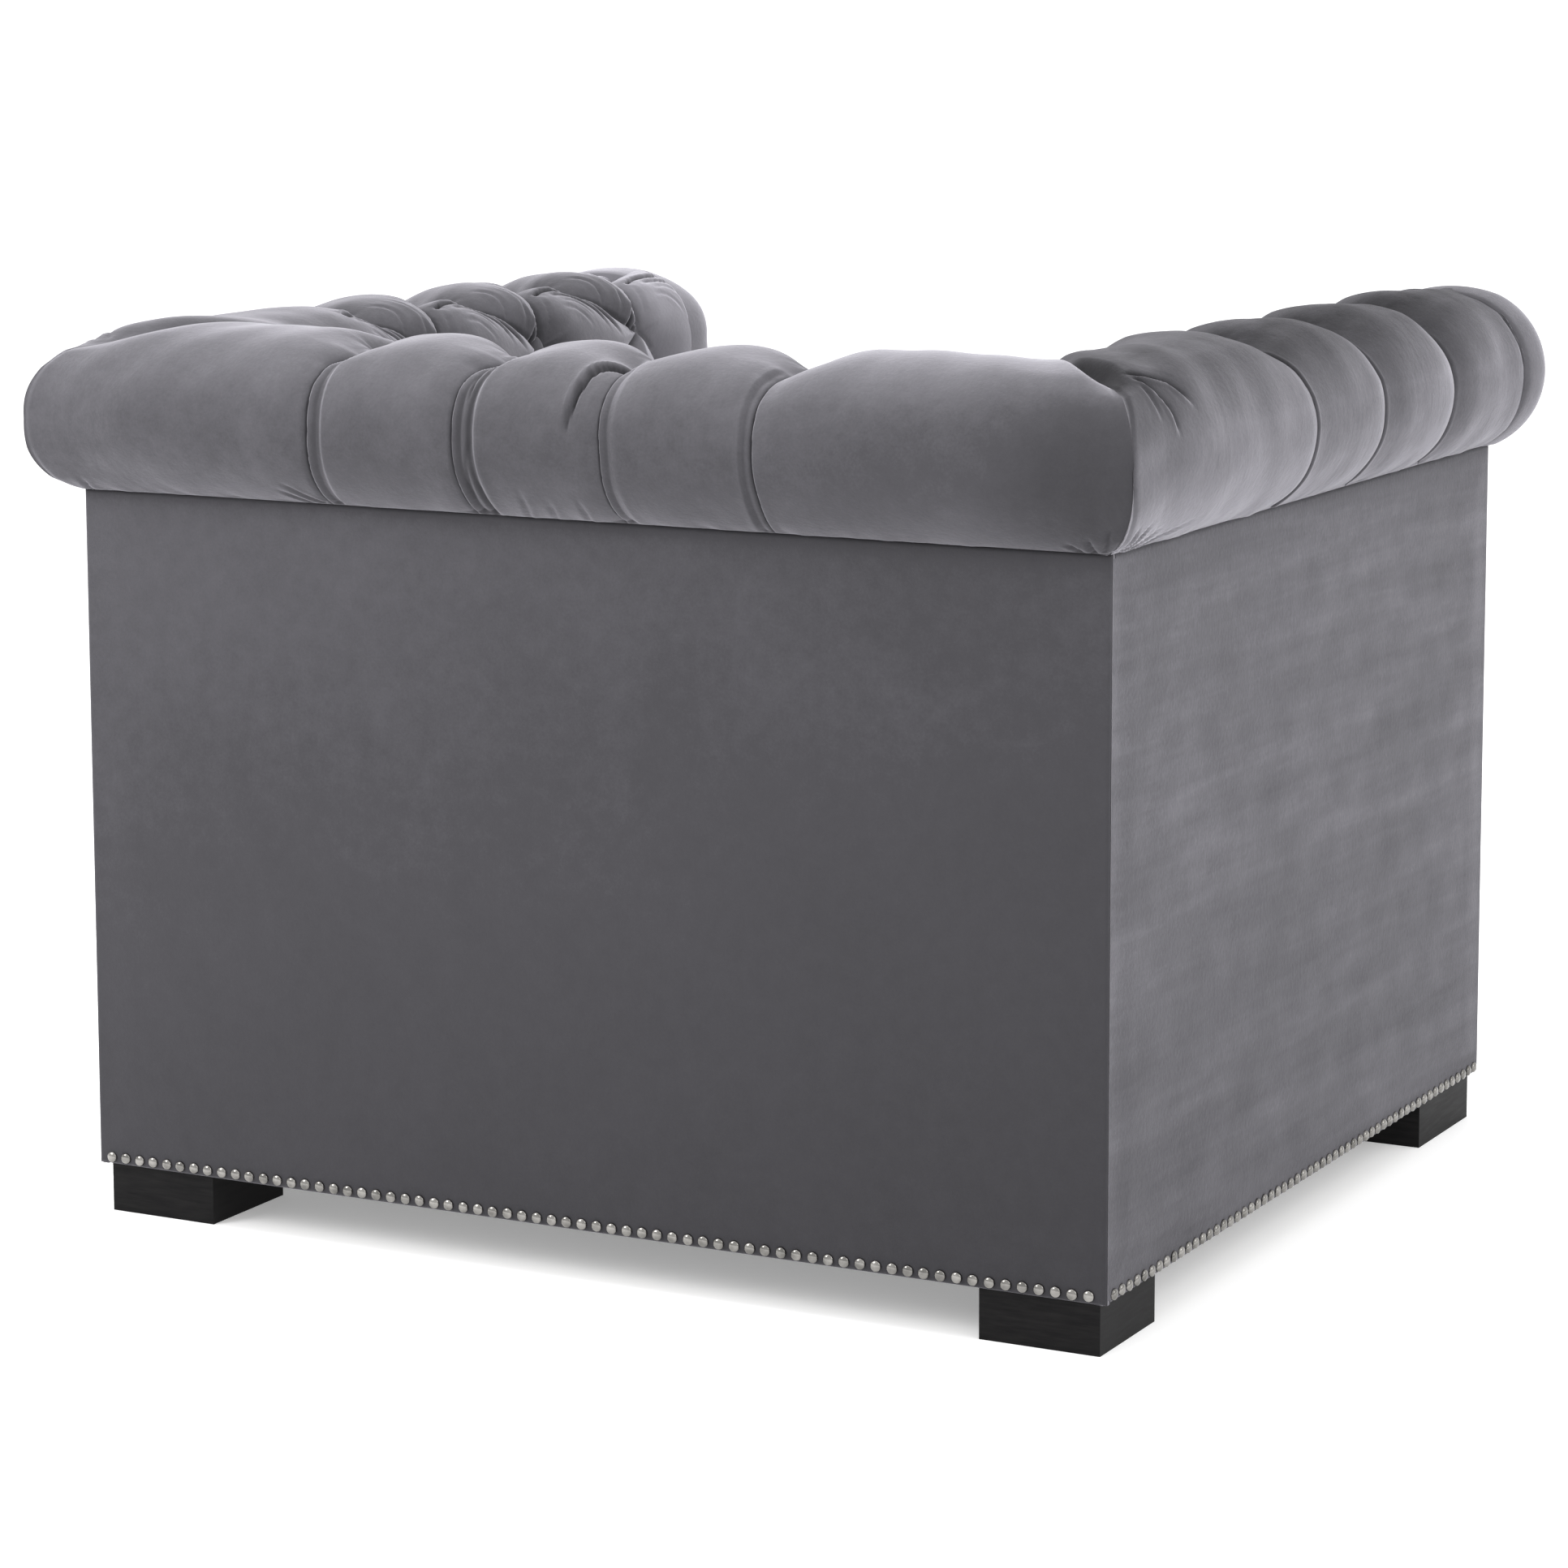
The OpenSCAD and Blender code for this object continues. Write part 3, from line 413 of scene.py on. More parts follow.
def near_path(r, v, path, reach):
    """Signed distance in mm to a path in (r, v), positive on its left, and the share of its length."""
    p = rounded(path)
    dist, side, share = np.full(r.shape, 1e6), np.ones(r.shape), np.zeros(r.shape)
    low, high = p.min(0) - reach, p.max(0) + reach
    near = (r >= low[0]) & (r <= high[0]) & (v >= low[1]) & (v <= high[1])
    if not near.any():
        return dist, share
    a, b = r[near], v[near]
    lengths = np.hypot(*np.diff(p, axis=0).T)
    best, s1, t1 = np.full(a.shape, 1e6), np.ones(a.shape), np.zeros(a.shape)
    gone = 0
    for (x0, y0), (x1, y1), length in zip(p[:-1], p[1:], lengths):
        s = np.clip(((a - x0) * (x1 - x0) + (b - y0) * (y1 - y0)) / max(length, 1e-6) ** 2, 0, 1)
        dx, dy = a - x0 - s * (x1 - x0), b - y0 - s * (y1 - y0)
        d = np.hypot(dx, dy)
        closer = d < best
        best = np.where(closer, d, best)
        s1 = np.where(closer, np.where((x1 - x0) * dy - (y1 - y0) * dx < 0, -1, 1), s1)
        t1 = np.where(closer, gone + s * length, t1)
        gone += length
    dist[near], side[near], share[near] = best, s1, t1 / gone
    return dist * side, share


def fold(r, v, path, profile, ends=(0.15, 0.15), scale=1.0):
    """Depth of a fold along a path, tapered at its ends. profile: (mm to the path's left, depth), in order."""
    d, t = near_path(r, v, path, max(profile[-1][0], -profile[0][0]))
    x, y = zip(*profile)
    taper = ease(t / max(ends[0], 1e-3)) * ease((1 - t) / max(ends[1], 1e-3))
    return scale * taper * np.interp(d, x, y, 0, 0)


def crease_of(deep, wide=1.8, lip=1.0, lip_at=3.2, left=True):
    """Profile of a crisp crease with a raised lip on one side."""
    rows = [(-14, 0), (-7, 0.12 * deep), (-wide, 0.3 * deep), (0, deep), (wide * 0.55, 0.15 * deep),
            (lip_at, -lip), (lip_at + 3.5, -0.25 * lip), (14, 0)]
    return rows if left else mirrored(rows)


def wrinkle(deep=1):
    """Profile of a soft wrinkle."""
    return [(x, deep * y) for x, y in ((-9, 0), (-4, -0.25), (0, 1), (3, -0.45), (6, -0.2), (10, 0))]


STRAIGHT = [(0, 0), (0.42, 0.33), (0.58, 0.67), (1, 1)]


def bay_folds(r, v, first, bay, step, bowed):
    """The creases between the buttons inside. bowed: paths other than STRAIGHT, by row and side."""
    depth = 0 * r
    for row in range(ROWS):
        here = [k + 0.5 * (row % 2) for k in range(4) if k + 0.5 * (row % 2) <= 3]
        for p0 in here:
            for turn in (-0.5, 0.5):
                if not 0 <= p0 + turn <= 3:
                    continue
                shares = bowed.get((row, turn), STRAIGHT)
                path = [(first + step * bay * (p0 + turn * s), (row + t) * ROW) for s, t in shares]
                d, t = near_path(r, v, path, 60)
                d = np.abs(d)
                seam = 2.6 * np.exp(-(d / 2.2) ** 1.5) * np.sin(np.pi * t) ** 0.3
                depth = np.maximum(depth, FOLD * np.exp(-(d / 17) ** 1.25) + seam)
    return depth * (1 - ease((v - LAST_ROW) / (ROW / 2)))


def near_button(p, v, bay, last):
    """Offsets in mm, along and down, from the nearest button."""
    row = np.clip(np.round(v / ROW), 0, ROWS)
    half = np.where(row % 2 == 1, 0.5, 0.0)
    k = np.clip(np.round(p - half), 0, np.where(half > 0, last - 1, last))
    return (p - half - k) * bay, v - row * ROW


def columns(a, b, centres, near=16.0, coarse=2.4):
    """Places from a to b, close together round the pleats."""
    fine, out, x = 1.0, [], a
    while x < b - 0.3:
        out.append(x)
        d = min(abs(x - c) for c in centres)
        ahead = min([c - near - x for c in centres if c - near > x] or [1e9])
        x += min(fine if d < near else coarse, max(ahead, fine))
    return np.array(out + [b])


# Places down the run, close together where the creases are
RUN_ROWS = np.concatenate([np.arange(-OUTER_RUN, -OUTER_RUN + 16, 1.6), np.arange(-OUTER_RUN + 16, -80, 3.2),
                           np.arange(-80, 126, 2.15), np.arange(126, LAST_ROW + 20, 5.2),
                           np.linspace(LAST_ROW + 22, DECK_RUN, 12)])


def build_pad(name, cols, skin, shape, replaced, mirror, mitres):
    """A closed pad: its tufted skin, its lining and flat ends. shape(r, v) gives depth, slip and the painted light
    and shade.
    """
    r, v = np.meshgrid(cols, RUN_ROWS, indexing="ij")
    base = skin(r, v)
    along, down = np.gradient(base, axis=0), np.gradient(base, axis=1)
    normal = np.cross(along, down)
    normal /= np.linalg.norm(normal, axis=-1, keepdims=True)
    middle = len(cols) // 2
    outward = np.array([0, 1, 0]) if skin is back_skin else np.array([1, 0, 0])
    if normal[middle, 5] @ outward < 0:
        normal = -normal
    along /= np.linalg.norm(along, axis=-1, keepdims=True)
    depth, slip, nap_and_painted_light = shape(r, v)
    hem = ease((v + OUTER_RUN) / 3.0)
    points = base - normal * (depth * hem)[..., None] + along * (slip * hem)[..., None]
    points[..., 2] = np.maximum(points[..., 2], np.where(v < 0, CREASE_Z + GAP, 0))
    place = back_place if skin is back_skin else arm_place
    back = [place(cols, 0 * cols + out, 0 * cols + up) for out, up in LINING[::-1]]
    # The ring runs down the skin and back up the lining
    ring = np.concatenate([points, np.stack(back, 1)], axis=1)
    for end in mitres:      # flat on the mitre's plane
        if skin is back_skin:
            side = np.sign(cols[end])
            ring[end, :, 0] = side * (HALF_W + ring[end, :, 1] - BACK_Y - PLAY)
        else:
            ring[end, :, 1] = BACK_Y + ring[end, :, 0] - HALF_W - PLAY
    if mirror:
        ring[..., 0] *= -1
    n, k = ring.shape[:2]
    turned = (skin is back_skin) != mirror
    faces = [quads(n, k, wrap=True, flip=not turned), lids(n, k, flip=turned)]
    obj = add_mesh(name, ring.reshape(-1, 3), faces, "velvet")
    # The skin gets its painted light and shade; the lining gets none
    paint_pile_and_light(obj, np.concatenate([nap_and_painted_light, np.zeros((n, len(LINING)))], 1))
    dress(obj, "chair_frame", (replaced,))


def button_wrinkles(du, dv, seed):
    """Fine creases that radiate from a button."""
    rho = np.hypot(du, dv)
    turn = np.arctan2(dv, du)
    rays = np.sin(9 * turn + seed) * 0.6 + np.sin(14 * turn + 2.1 * seed) * 0.4
    return 0.9 * rays * np.exp(-(rho / 24) ** 2) * ease(rho / 9)


def dimples(du, dv):
    return np.exp(-(du ** 2 + dv ** 2) / DIMPLE_W ** 2)


def gathers(r, v, seed, length):
    """Puckers along the crease, where the cover is pulled under."""
    up = v + OUTER_RUN
    rng = np.random.default_rng(seed)
    waves = 0
    for _ in range(5):
        L = length * rng.uniform(0.6, 1.6)
        waves = waves + np.sin(2 * math.pi * (r + up * rng.uniform(-0.5, 0.5)) / L + rng.uniform(0, 6.3))
    return 0.5 * waves / 3 * np.exp(-up / 14)


def striations(r, v, seed, amount):
    """Fine lines down the cover, parallel to the pleats."""
    rng = np.random.default_rng(seed)
    total = 0
    for _ in range(7):
        L, bend = rng.uniform(6, 19), rng.uniform(0, 6.3)
        total = total + np.sin(2 * math.pi * r / L + bend + 1.3 * np.sin(v / rng.uniform(40, 90) + bend)) \
            * ease(0.5 + 0.5 * np.sin(r / rng.uniform(30, 70) + v / 60 + bend))
    return amount * total / 3


def mitre(d, v, seam, run):
    """How the cover lies d mm from a corner. seam: its depth at the mitre, by place down the run.

    run: mm from the mitre to the full roll.
    """
    top = table(v, (-130, 0), (-85, 0.5), (-50, 0.85), (-20, 1), (20, 1), (70, 0.5), (115, 0))
    full = -CORNER_DIP * ROLL_H * ease(1 - d / CORNER_RUN) * top
    groove = table(v, (-240, 2.0), (-60, 2.2), (60, 3.5)) * np.exp(-(d / 2.4) ** 1.5)
    return mix(table(v, *seam), full, ease(d / run)) + groove


def crease_shade_and_lip_highlight(lines):
    """Painted shade along a crease and a painted highlight on its lip, from the crease's depth."""
    return table(lines, (-3, 0.12), (-0.4, 0), (0.8, 0), (2.2, -0.10), (6, -0.38), (12, -0.55))


# Depth at the mitre of the near (right) and the far (left) corner
NEAR_SEAM = ((-236, 0), (-205, -3), (-170, -2.5), (-135, -0.5), (-100, -3), (-77, -7), (-62, -8.5),
             (-45, -5.5), (-25, 2.4), (4, 4), (14, -7), (26, -13), (60, -10), (115, -3), (330, 0))
FAR_SEAM = ((-236, 0), (-205, -6), (-170, -6), (-140, -4.5), (-85, -5), (-62, -2.7), (-45, 2),
            (-30, 5.5), (4, 4), (25, 0), (330, 0))


FAR_RUN = 95.0


def corner_run(v, crown):
    """How far the near corner's pocket reaches from the mitre, crown mm at the crown."""
    return table(v, (-130, 70), (-70, 55), (-40, crown), (15, crown), (40, 60))


# Outside pleats of the back, from the left: the path down the roll, and the section across it,
# mm from the path towards the right arm with the depth there
BACK_PLEATS = [
    ([(198, -42), (204, -56), (211, -68), (212, -101), (210, -139), (211, -165), (214, -189), (221, -236)],
     [(-18, 0), (-6, 0.5), (-1.8, 1.8), (0, 7), (1, 0.6), (2.4, 0), (6, 2.8), (9.5, 2.4), (13, 0.3), (17, 0.2),
      (26, 0)]),
    ([(60, -40), (65, -52), (72, -62), (76, -85), (75, -131), (75, -177), (77, -201), (83, -236)],
     [(-16, 0), (-5, 0.8), (-1.5, 2), (0, 7), (1, 0.5), (2.4, 0.2), (6.5, 3.8), (11, 2.2), (13, 2), (17, 4.4),
      (20.5, 1), (23, -0.9), (27, -0.4), (34, 0)]),
    ([(-53, -40), (-55, -60), (-57, -101), (-58, -125), (-60, -151), (-58, -181), (-54, -236)],
     [(-20, 0), (-1.5, 1.2), (0, 6), (1, 0.3), (2.4, 0.0), (6, 2.2), (10, 1.0), (14, 0)]),
    ([(-198, -38), (-193, -60), (-192, -91), (-193, -113), (-194, -135), (-194, -183), (-187, -236)],
     [(-18, 0), (-12, -0.8), (-8, 1.7), (-4, 0.8), (-1.6, 1.8), (0, 8), (1, 0), (2.6, -0.6), (9, 0)])]
BACK_FOLDS = [
    ([(-58, -43), (-44, -49), (-35, -64), (-32, -93), (-30, -118), (-28, -140)], crease_of(10, 2.4, 2.2, 4.0),
     (0.08, 0.45)),
    ([(54, -131), (60, -147), (64, -165), (67, -188), (76, -228)], wrinkle(), (0.3, 0.3)),
    ([(66, -68), (66, -85), (63, -110)], crease_of(2.5, 1.4, 0.6), (0.2, 0.5)),
    ([(250, -196), (238, -214), (226, -236)], wrinkle(1.8), (0.4, 0.1)),
    ([(258, -208), (246, -224), (238, -236)], wrinkle(1.5), (0.4, 0.1)),
    ([(34, -236), (24, -210), (20, -180)], wrinkle(1.3), (0.1, 0.5)),
    ([(10, -236), (2, -216), (-2, -196)], wrinkle(1.2), (0.1, 0.5)),
    ([(-22, -236), (-28, -214), (-30, -190)], wrinkle(1.3), (0.1, 0.5)),
    ([(-459, -236), (-448, -218), (-440, -198)], wrinkle(2.4), (0.1, 0.4)),
    ([(-448, -236), (-436, -222), (-424, -212)], wrinkle(2.0), (0.1, 0.4)),
    ([(-463, -230), (-459, -205), (-457, -182)], wrinkle(1.8), (0.1, 0.4)),
    ([(459, -236), (448, -218), (436, -200)], wrinkle(2.0), (0.1, 0.4))]
SOFT_BACK = ripple(11, (70, 140, 260), 0.7)
SOFT_ARM = ripple(12, (60, 120, 240), 0.7)


def back_shape(r, v):
    p = (r + BACK_FIRST) / BACK_BAY
    du, dv = near_button(p, v, BACK_BAY, 3)
    outside = ease(-v / 36)
    depth = bay_folds(r, v, -BACK_FIRST, BACK_BAY, 1, {}) * (1 - outside)
    depth += DIMPLE * dimples(du, dv)
    slip = 0 * r
    lines = 0 * r
    for path, profile in BACK_PLEATS:
        level = np.array(path, float)[::-1]
        u = np.interp(v, level[:, 1], level[:, 0]) - r
        deep = table(v, (-240, 0.8), (-160, 1.2), (-120, 2.2), (-95, 3.8), (-75, 8), (-58, 13), (-36, 16), (0, 17))
        wide = table(v, (-240, 10), (-120, 10), (-90, 12), (-70, 15), (-45, 20), (-20, 25), (0, 27))
        depth += outside * deep * np.exp(-(np.abs(u) / wide) ** 1.2)
        lines += fold(r, v, path, mirrored(profile), (0.05, 0.02))
        slip += ease((-v - 44) / 20) * 1.5 * np.exp(-((u - 2.2) / 2.2) ** 2)
    for path, profile, ends in BACK_FOLDS:
        lines += fold(r, v, path, profile, ends)
    depth += lines + button_wrinkles(du, dv, 1.0) + gathers(r, v, 3, 34) + SOFT_BACK(r, v)
    depth += striations(r, v, 7, 0.05) * outside * ease((-v - 30) / 40)
    depth -= 4.0 * np.exp(-((r + 318) / 80) ** 2 - ((v + 45) / 60) ** 2)
    d = HALF_W - np.abs(r)
    depth += np.where(r < 0, mitre(d, v, NEAR_SEAM, corner_run(v, 28)), mitre(d, v, FAR_SEAM, FAR_RUN))
    # Painted light and shade on the back roll: lighter towards the crown and the left, a lighter patch high on the
    # right, darker low at the right end, painted shade in the creases and round the buttons, painted highlights on
    # the creases' lips
    nap_and_painted_light = table(v, (-236, -0.05), (-205, -0.03), (-150, 0.03), (-100, 0.10), (-50, 0.14), (0, 0.12))
    nap_and_painted_light += 0.03 * r / HALF_W + 0.10 * ease((-r - 180) / 60) * ease((v + 110) / 60)
    nap_and_painted_light -= 0.16 * ease((-r - 330) / 110) * (1 - ease((v + 90) / 50))
    return depth, slip, nap_and_painted_light + crease_shade_and_lip_highlight(lines) - 0.16 * dimples(du, dv) * ease((v + 30) / 40)


# Outside pleats of the arms, from the back: the path, the bay's depth beside it and the crease
ARM_PLEATS = [([(103, -38), (98, -60), (93, -100), (92, -150), (92, -200), (94, -236)], 3.0, 4.0),
              ([(-72, -38), (-74, -60), (-76, -100), (-77, -150), (-76, -200), (-72, -236)], 8.5, 4.0),
              ([(-248, -38), (-250, -60), (-252, -100), (-253, -150), (-252, -200), (-248, -236)], 12.0, 4.5),
              ([(-414, -38), (-404, -60), (-399, -100), (-404, -150), (-409, -200), (-413, -236)], 2.5, 3.0)]
# Folds of one inside bay, from its button: mm forward of the button and down the run
INNER_FOLDS = [
    ([(-66, 42), (-44, 36), (-22, 37), (0, 43), (14, 54), (24, 70), (32, 88), (40, 110)],
     crease_of(10, 2.6, 1.5, 4.8, False), (0.06, 0.3)),
    ([(-52, 48), (-24, 47), (-6, 55), (6, 68), (14, 86), (20, 104)], crease_of(4.5, 1.9, 0.9, 3.6, False),
     (0.15, 0.4)),
    ([(-40, 58), (-20, 58), (-8, 68), (-2, 84)], wrinkle(1.2), (0.2, 0.4)),
    ([(-50, 66), (-30, 68), (-18, 80), (-12, 96)], wrinkle(1.0), (0.2, 0.4)),
    ([(80, 0), (86, 22), (88, 40), (84, 60), (76, 82), (68, 110)], crease_of(9, 2.5, 1.5, 4.6, True), (0.15, 0.2)),
    ([(100, 22), (100, 42), (95, 62), (86, 84), (78, 106)], crease_of(5.5, 2.0, 0.9, 3.8, True), (0.25, 0.2)),
    ([(30, 16), (44, 27), (47, 43), (42, 62), (40, 84)], wrinkle(1.5), (0.25, 0.4)),
    ([(58, 14), (66, 34), (66, 56), (60, 84)], wrinkle(1.4), (0.3, 0.3)),
    ([(114, 40), (108, 64), (98, 92)], wrinkle(1.3), (0.4, 0.3))]
CORNER_FOLDS = [
    ([(390, -38), (372, -43), (356, -51), (336, -60), (324, -72), (312, -86), (306, -100)],
     crease_of(9, 2.6, 2.2, 4.6, True), (0.2, 0.45)),
    ([(388, -42), (372, -54), (358, -70), (348, -85), (341, -98), (338, -118)], crease_of(8, 2.4, 2.0, 4.2, True),
     (0.2, 0.4)),
    ([(384, -50), (374, -66), (366, -84), (362, -100)], wrinkle(1.6), (0.3, 0.5)),
    ([(404, -234), (394, -212), (380, -196), (366, -186)], wrinkle(2.6), (0.1, 0.4)),
    ([(402, -236), (384, -220), (360, -206), (338, -200)], wrinkle(2.4), (0.1, 0.4)),
    ([(396, -237), (372, -230), (336, -216), (300, -204), (272, -196)], wrinkle(2.0), (0.1, 0.5)),
    ([(405, -226), (400, -204), (392, -184)], wrinkle(1.8), (0.1, 0.4))]
ARM_ROWS = {(0, 0.5): [(0, 0), (0.02, 0.22), (0.12, 0.38), (0.34, 0.52), (0.5, 0.72), (1, 1)],
            (0, -0.5): [(0, 0), (0.55, 0.08), (0.85, 0.25), (0.92, 0.5), (0.97, 0.8), (1, 1)]}


def arm_shape(r, v, near):
    p = (ARM_FIRST - r) / ARM_BAY
    du, dv = near_button(p, v, ARM_BAY, 2)
    outside = ease(-v / 36)
    full = mix(0.5, 1, ease((r - FRAME_FRONT) / 40))
    inner = bay_folds(r, v, ARM_FIRST, ARM_BAY, -1, ARM_ROWS)
    depth = inner * (1 - outside) * full + DIMPLE * dimples(du, dv)
    # Bays of the outside: an arch from pleat to pleat
    level = np.array([np.interp(v, *np.array(path, float)[::-1, ::-1].T) for path, _, _ in ARM_PLEATS])
    q = np.where(r > level[0], -np.minimum((r - level[0]) / ARM_BAY, 0.5), 3 + (level[3] - r) / 60)
    mid = np.where(r > level[0], ARM_PLEATS[0][1], ARM_PLEATS[3][1])
    for k in range(3):
        inside = (r <= level[k]) & (r >= level[k + 1])
        share = (level[k] - r) / (level[k] - level[k + 1])
        q = np.where(inside, k + share, q)
        mid = np.where(inside, mix(ARM_PLEATS[k][1], ARM_PLEATS[k + 1][1], share), mid)
    arch = (1 - np.abs(np.sin(np.pi * q))) ** table(v, (-240, 1.8), (-120, 1.6), (-60, 1.3), (0, 1.2))
    tall = table(v, (-240, 0.15), (-205, 0.55), (-150, 1.0), (-60, 1.1), (0, 1.1))
    notch = table(v, (-110, 0), (-80, 3), (-55, 7), (-25, 10), (0, 10), (60, 8)) * mix(0.6, 1, ease((r + 400) / 60))
    depth += outside * arch * (mid * tall + notch)
    slip, lines, crown = 0 * r, 0 * r, 0 * r
    for k, (path, _, crisp) in enumerate(ARM_PLEATS):
        lines += fold(r, v, path, crease_of(crisp, 1.6, 0.5, 2.8, False), (0.06, 0.02))
        slip -= ease((-v - 44) / 20) * (1.2 if k < 3 else 0) * np.exp(-((level[k] - r + 2.0) / 2.2) ** 2)
    for k in range(0 if near else 4):
        for path, profile, ends in INNER_FOLDS:
            turned = [(ARM_FIRST - k * ARM_BAY - a, b) for a, b in path]
            uneven = 1.0 + 0.12 * math.sin(5 * k + len(path))
            crown += fold(r, v, turned, mirrored(profile), ends, uneven) * full
    lines += crown
    for path, profile, ends in CORNER_FOLDS:
        lines += fold(r, v, path, profile, ends, 1 if near else 0.3)
    depth += lines + button_wrinkles(du, dv, 2.0) * full
    depth += gathers(r, v, 5 + near, 30) + SOFT_ARM(r, v)
    depth += striations(r, v, 9, 0.055) * outside * ease((-v - 30) / 40)
    d = BACK_Y - r
    depth += (mitre(d, v, NEAR_SEAM, corner_run(v, 34)) if near else mitre(d, v, FAR_SEAM, FAR_RUN))
    plump = table(v, (-25, 0), (0, 2.5), (15, 6), (38, 12.5), (55, 15), (72, 12), (90, 5), (103, 0))
    plump = plump * (0.3 + 0.7 * np.sin(np.pi * p) ** 2)
    depth -= plump * (1 if near else 0.4) * ease((d - 20) / 50)
    lower = -4.5 if near else 6.0 + 6.0 * ease((-r - 300) / 90)
    depth += lower * np.exp(-((v + 20) / 55) ** 2) * ease((d - 60) / 60)
    front = np.exp(-((r - FRAME_FRONT) / 45) ** 2)
    depth -= 4.0 * front * table(v, (-236, 0), (-200, 1), (-70, 1), (-40, 0))
    # In front of the last pleat the skin goes in under the puffed end
    depth = mix(depth, np.maximum(depth, 5), ease((level[3] - r - 1) / 5) * (v < INTO_CREASE - 6))
    if near:
        # Painted light and shade on the near arm: darker over the top and inside, lighter low on the outside, darker
        # beside the back corner, lighter towards the back
        nap_and_painted_light = table(v, (-236, 0.06), (-170, 0.08), (-120, 0.05), (-90, -0.12), (-60, -0.32), (-25, -0.43),
                    (40, -0.34), (110, -0.08))
        nap_and_painted_light -= 0.25 * np.exp(-(d / 30) ** 2) * table(v, (-60, 0), (-40, 1), (8, 1), (20, 0))
        nap_and_painted_light += 0.06 * ease((r - 100) / 60)
    else:
        # Painted light on the far arm: lighter low on the outside and deep inside, much lighter towards the front end
        nap_and_painted_light = table(v, (-236, 0.12), (-120, 0.04), (-40, 0.04), (0, -0.02), (60, 0.12), (110, 0.22))
        nap_and_painted_light += 0.34 * ease((-r - 300) / 80)
    # Painted shade in the creases and deep in the inside folds, painted highlights on the lips, painted shade round
    # the buttons
    nap_and_painted_light += crease_shade_and_lip_highlight(lines) + 0.4 * crease_shade_and_lip_highlight(crown) - 0.22 * ease((inner / FOLD - 0.72) / 0.28) * (1 - outside)
    return depth, slip, nap_and_painted_light - 0.16 * dimples(du, dv) * ease((v + 30) / 40)


build_pad("tufted_back", columns(-HALF_W, HALF_W, [path[3][0] for path, _ in BACK_PLEATS]), back_skin, back_shape,
          "back_pad", False, (0, -1))
arm_columns = columns(FRAME_FRONT, BACK_Y, [path[-1][0] for path, _, _ in ARM_PLEATS], near=12, coarse=2.15)
for near, side in enumerate(("left", "right")):
    build_pad("tufted_arm_" + side, arm_columns, arm_skin, lambda r, v: arm_shape(r, v, near),
              "arm_pad_" + side, bool(near), (-1,))


# ---- Puffed front ends of the arm rolls ----
# Place along Y, and share of the roll's section
END_RINGS = [(-402.0, 0.95), (-406.0, 0.985), (-413.0, 1.0), (-422.0, 1.010), (-432.0, 1.016), (-441.0, 1.010),
             (-449.5, 0.99), (-456.5, 0.95), (-462.0, 0.875), (-465.2, 0.75), (-465.5, 0.56), (-464.6, 0.35),
             (-462.6, 0.16), (-461.6, 0.012)]


def roll_end(side):
    mirror = side == "right"
    v = np.linspace(-OUTER_RUN, INTO_CREASE, 220)
    out, up = section(v, 0)
    out = np.where(out > 0, out * ARM_OUT / ROLL_OUT, out)
    base = np.linspace(0, 1, 26)[1:-1]
    outline = np.array([[*out, *mix(out[-1], 0, base)], [*up, *(0 * base + CREASE_Z)]]).T
    middle = np.array([ROLL_C - 6, CREASE_Z + ROLL_H / 2])
    angle = np.arctan2(outline[:, 1] - middle[1], outline[:, 0] - middle[0])
    stations = rounded(END_RINGS)
    gone = np.append(0, np.cumsum(np.hypot(*(np.diff(stations, axis=0) * (1, 90)).T)))
    rings = []
    for s in np.linspace(0, gone[-1], 72):
        y, share = np.interp(s, gone, stations[:, 0]), np.interp(s, gone, stations[:, 1])
        gather = 0.8 * np.sin(13 * angle + 0.7) * (1 - share) * math.exp(-((share - 0.6) / 0.3) ** 2)
        waves = np.sin(2 * math.pi * share * 15 + 1.6 * np.sin(2.3 * angle))
        dent = 1.6 * np.exp(-((angle - 2.05) / 0.16) ** 2) * math.exp(-((share - 0.97) / 0.06) ** 2)
        pull = gather + 0.35 * waves * math.exp(-((share - 0.86) / 0.12) ** 2) + dent
        xz = middle + (outline - middle) * share
        xz[:, 0] += 0.055 * share * np.maximum(outline[:, 0] - middle[0], 0)
        if not mirror:      # the far end sags a little
            xz[:, 1] -= 0.15 * np.maximum(xz[:, 1] - ROLL_Z, 0) * ease((xz[:, 1] - ROLL_Z) / 60)
        xz[:, 1] = np.maximum(xz[:, 1], CREASE_Z + GAP)
        rings.append(np.stack([HALF_W + xz[:, 0], y + pull, xz[:, 1]], -1))
    grid = np.array(rings)
    if mirror:
        grid[..., 0] *= -1
    n, k = grid.shape[:2]
    faces = [quads(n, k, wrap=True, flip=mirror), lids(n, k, flip=mirror)]
    obj = add_mesh("puffed_end_" + side, grid.reshape(-1, 3), faces, "velvet")
    # Painted light and shade on the puffed ends, by place round the section: darker over the top, lighter low on the
    # outside, and the far end lighter all over
    low = table(np.append(v, 0 * base - OUTER_RUN),
                (-236, 0.08), (-120, 0.10), (-60, 0.0), (-20, -0.24), (60, -0.16), (200, 0.04))
    paint_pile_and_light(obj, np.broadcast_to(low if mirror else np.maximum(low, 0.1) + 0.22, (n, k)))
    dress(obj, "chair_frame", ("roll_end_" + side,))


for side in ("left", "right"):
    roll_end(side)


# ---- Flat outside covers ----
PUFF = 1.6      # how far the wadding lifts a cover's face


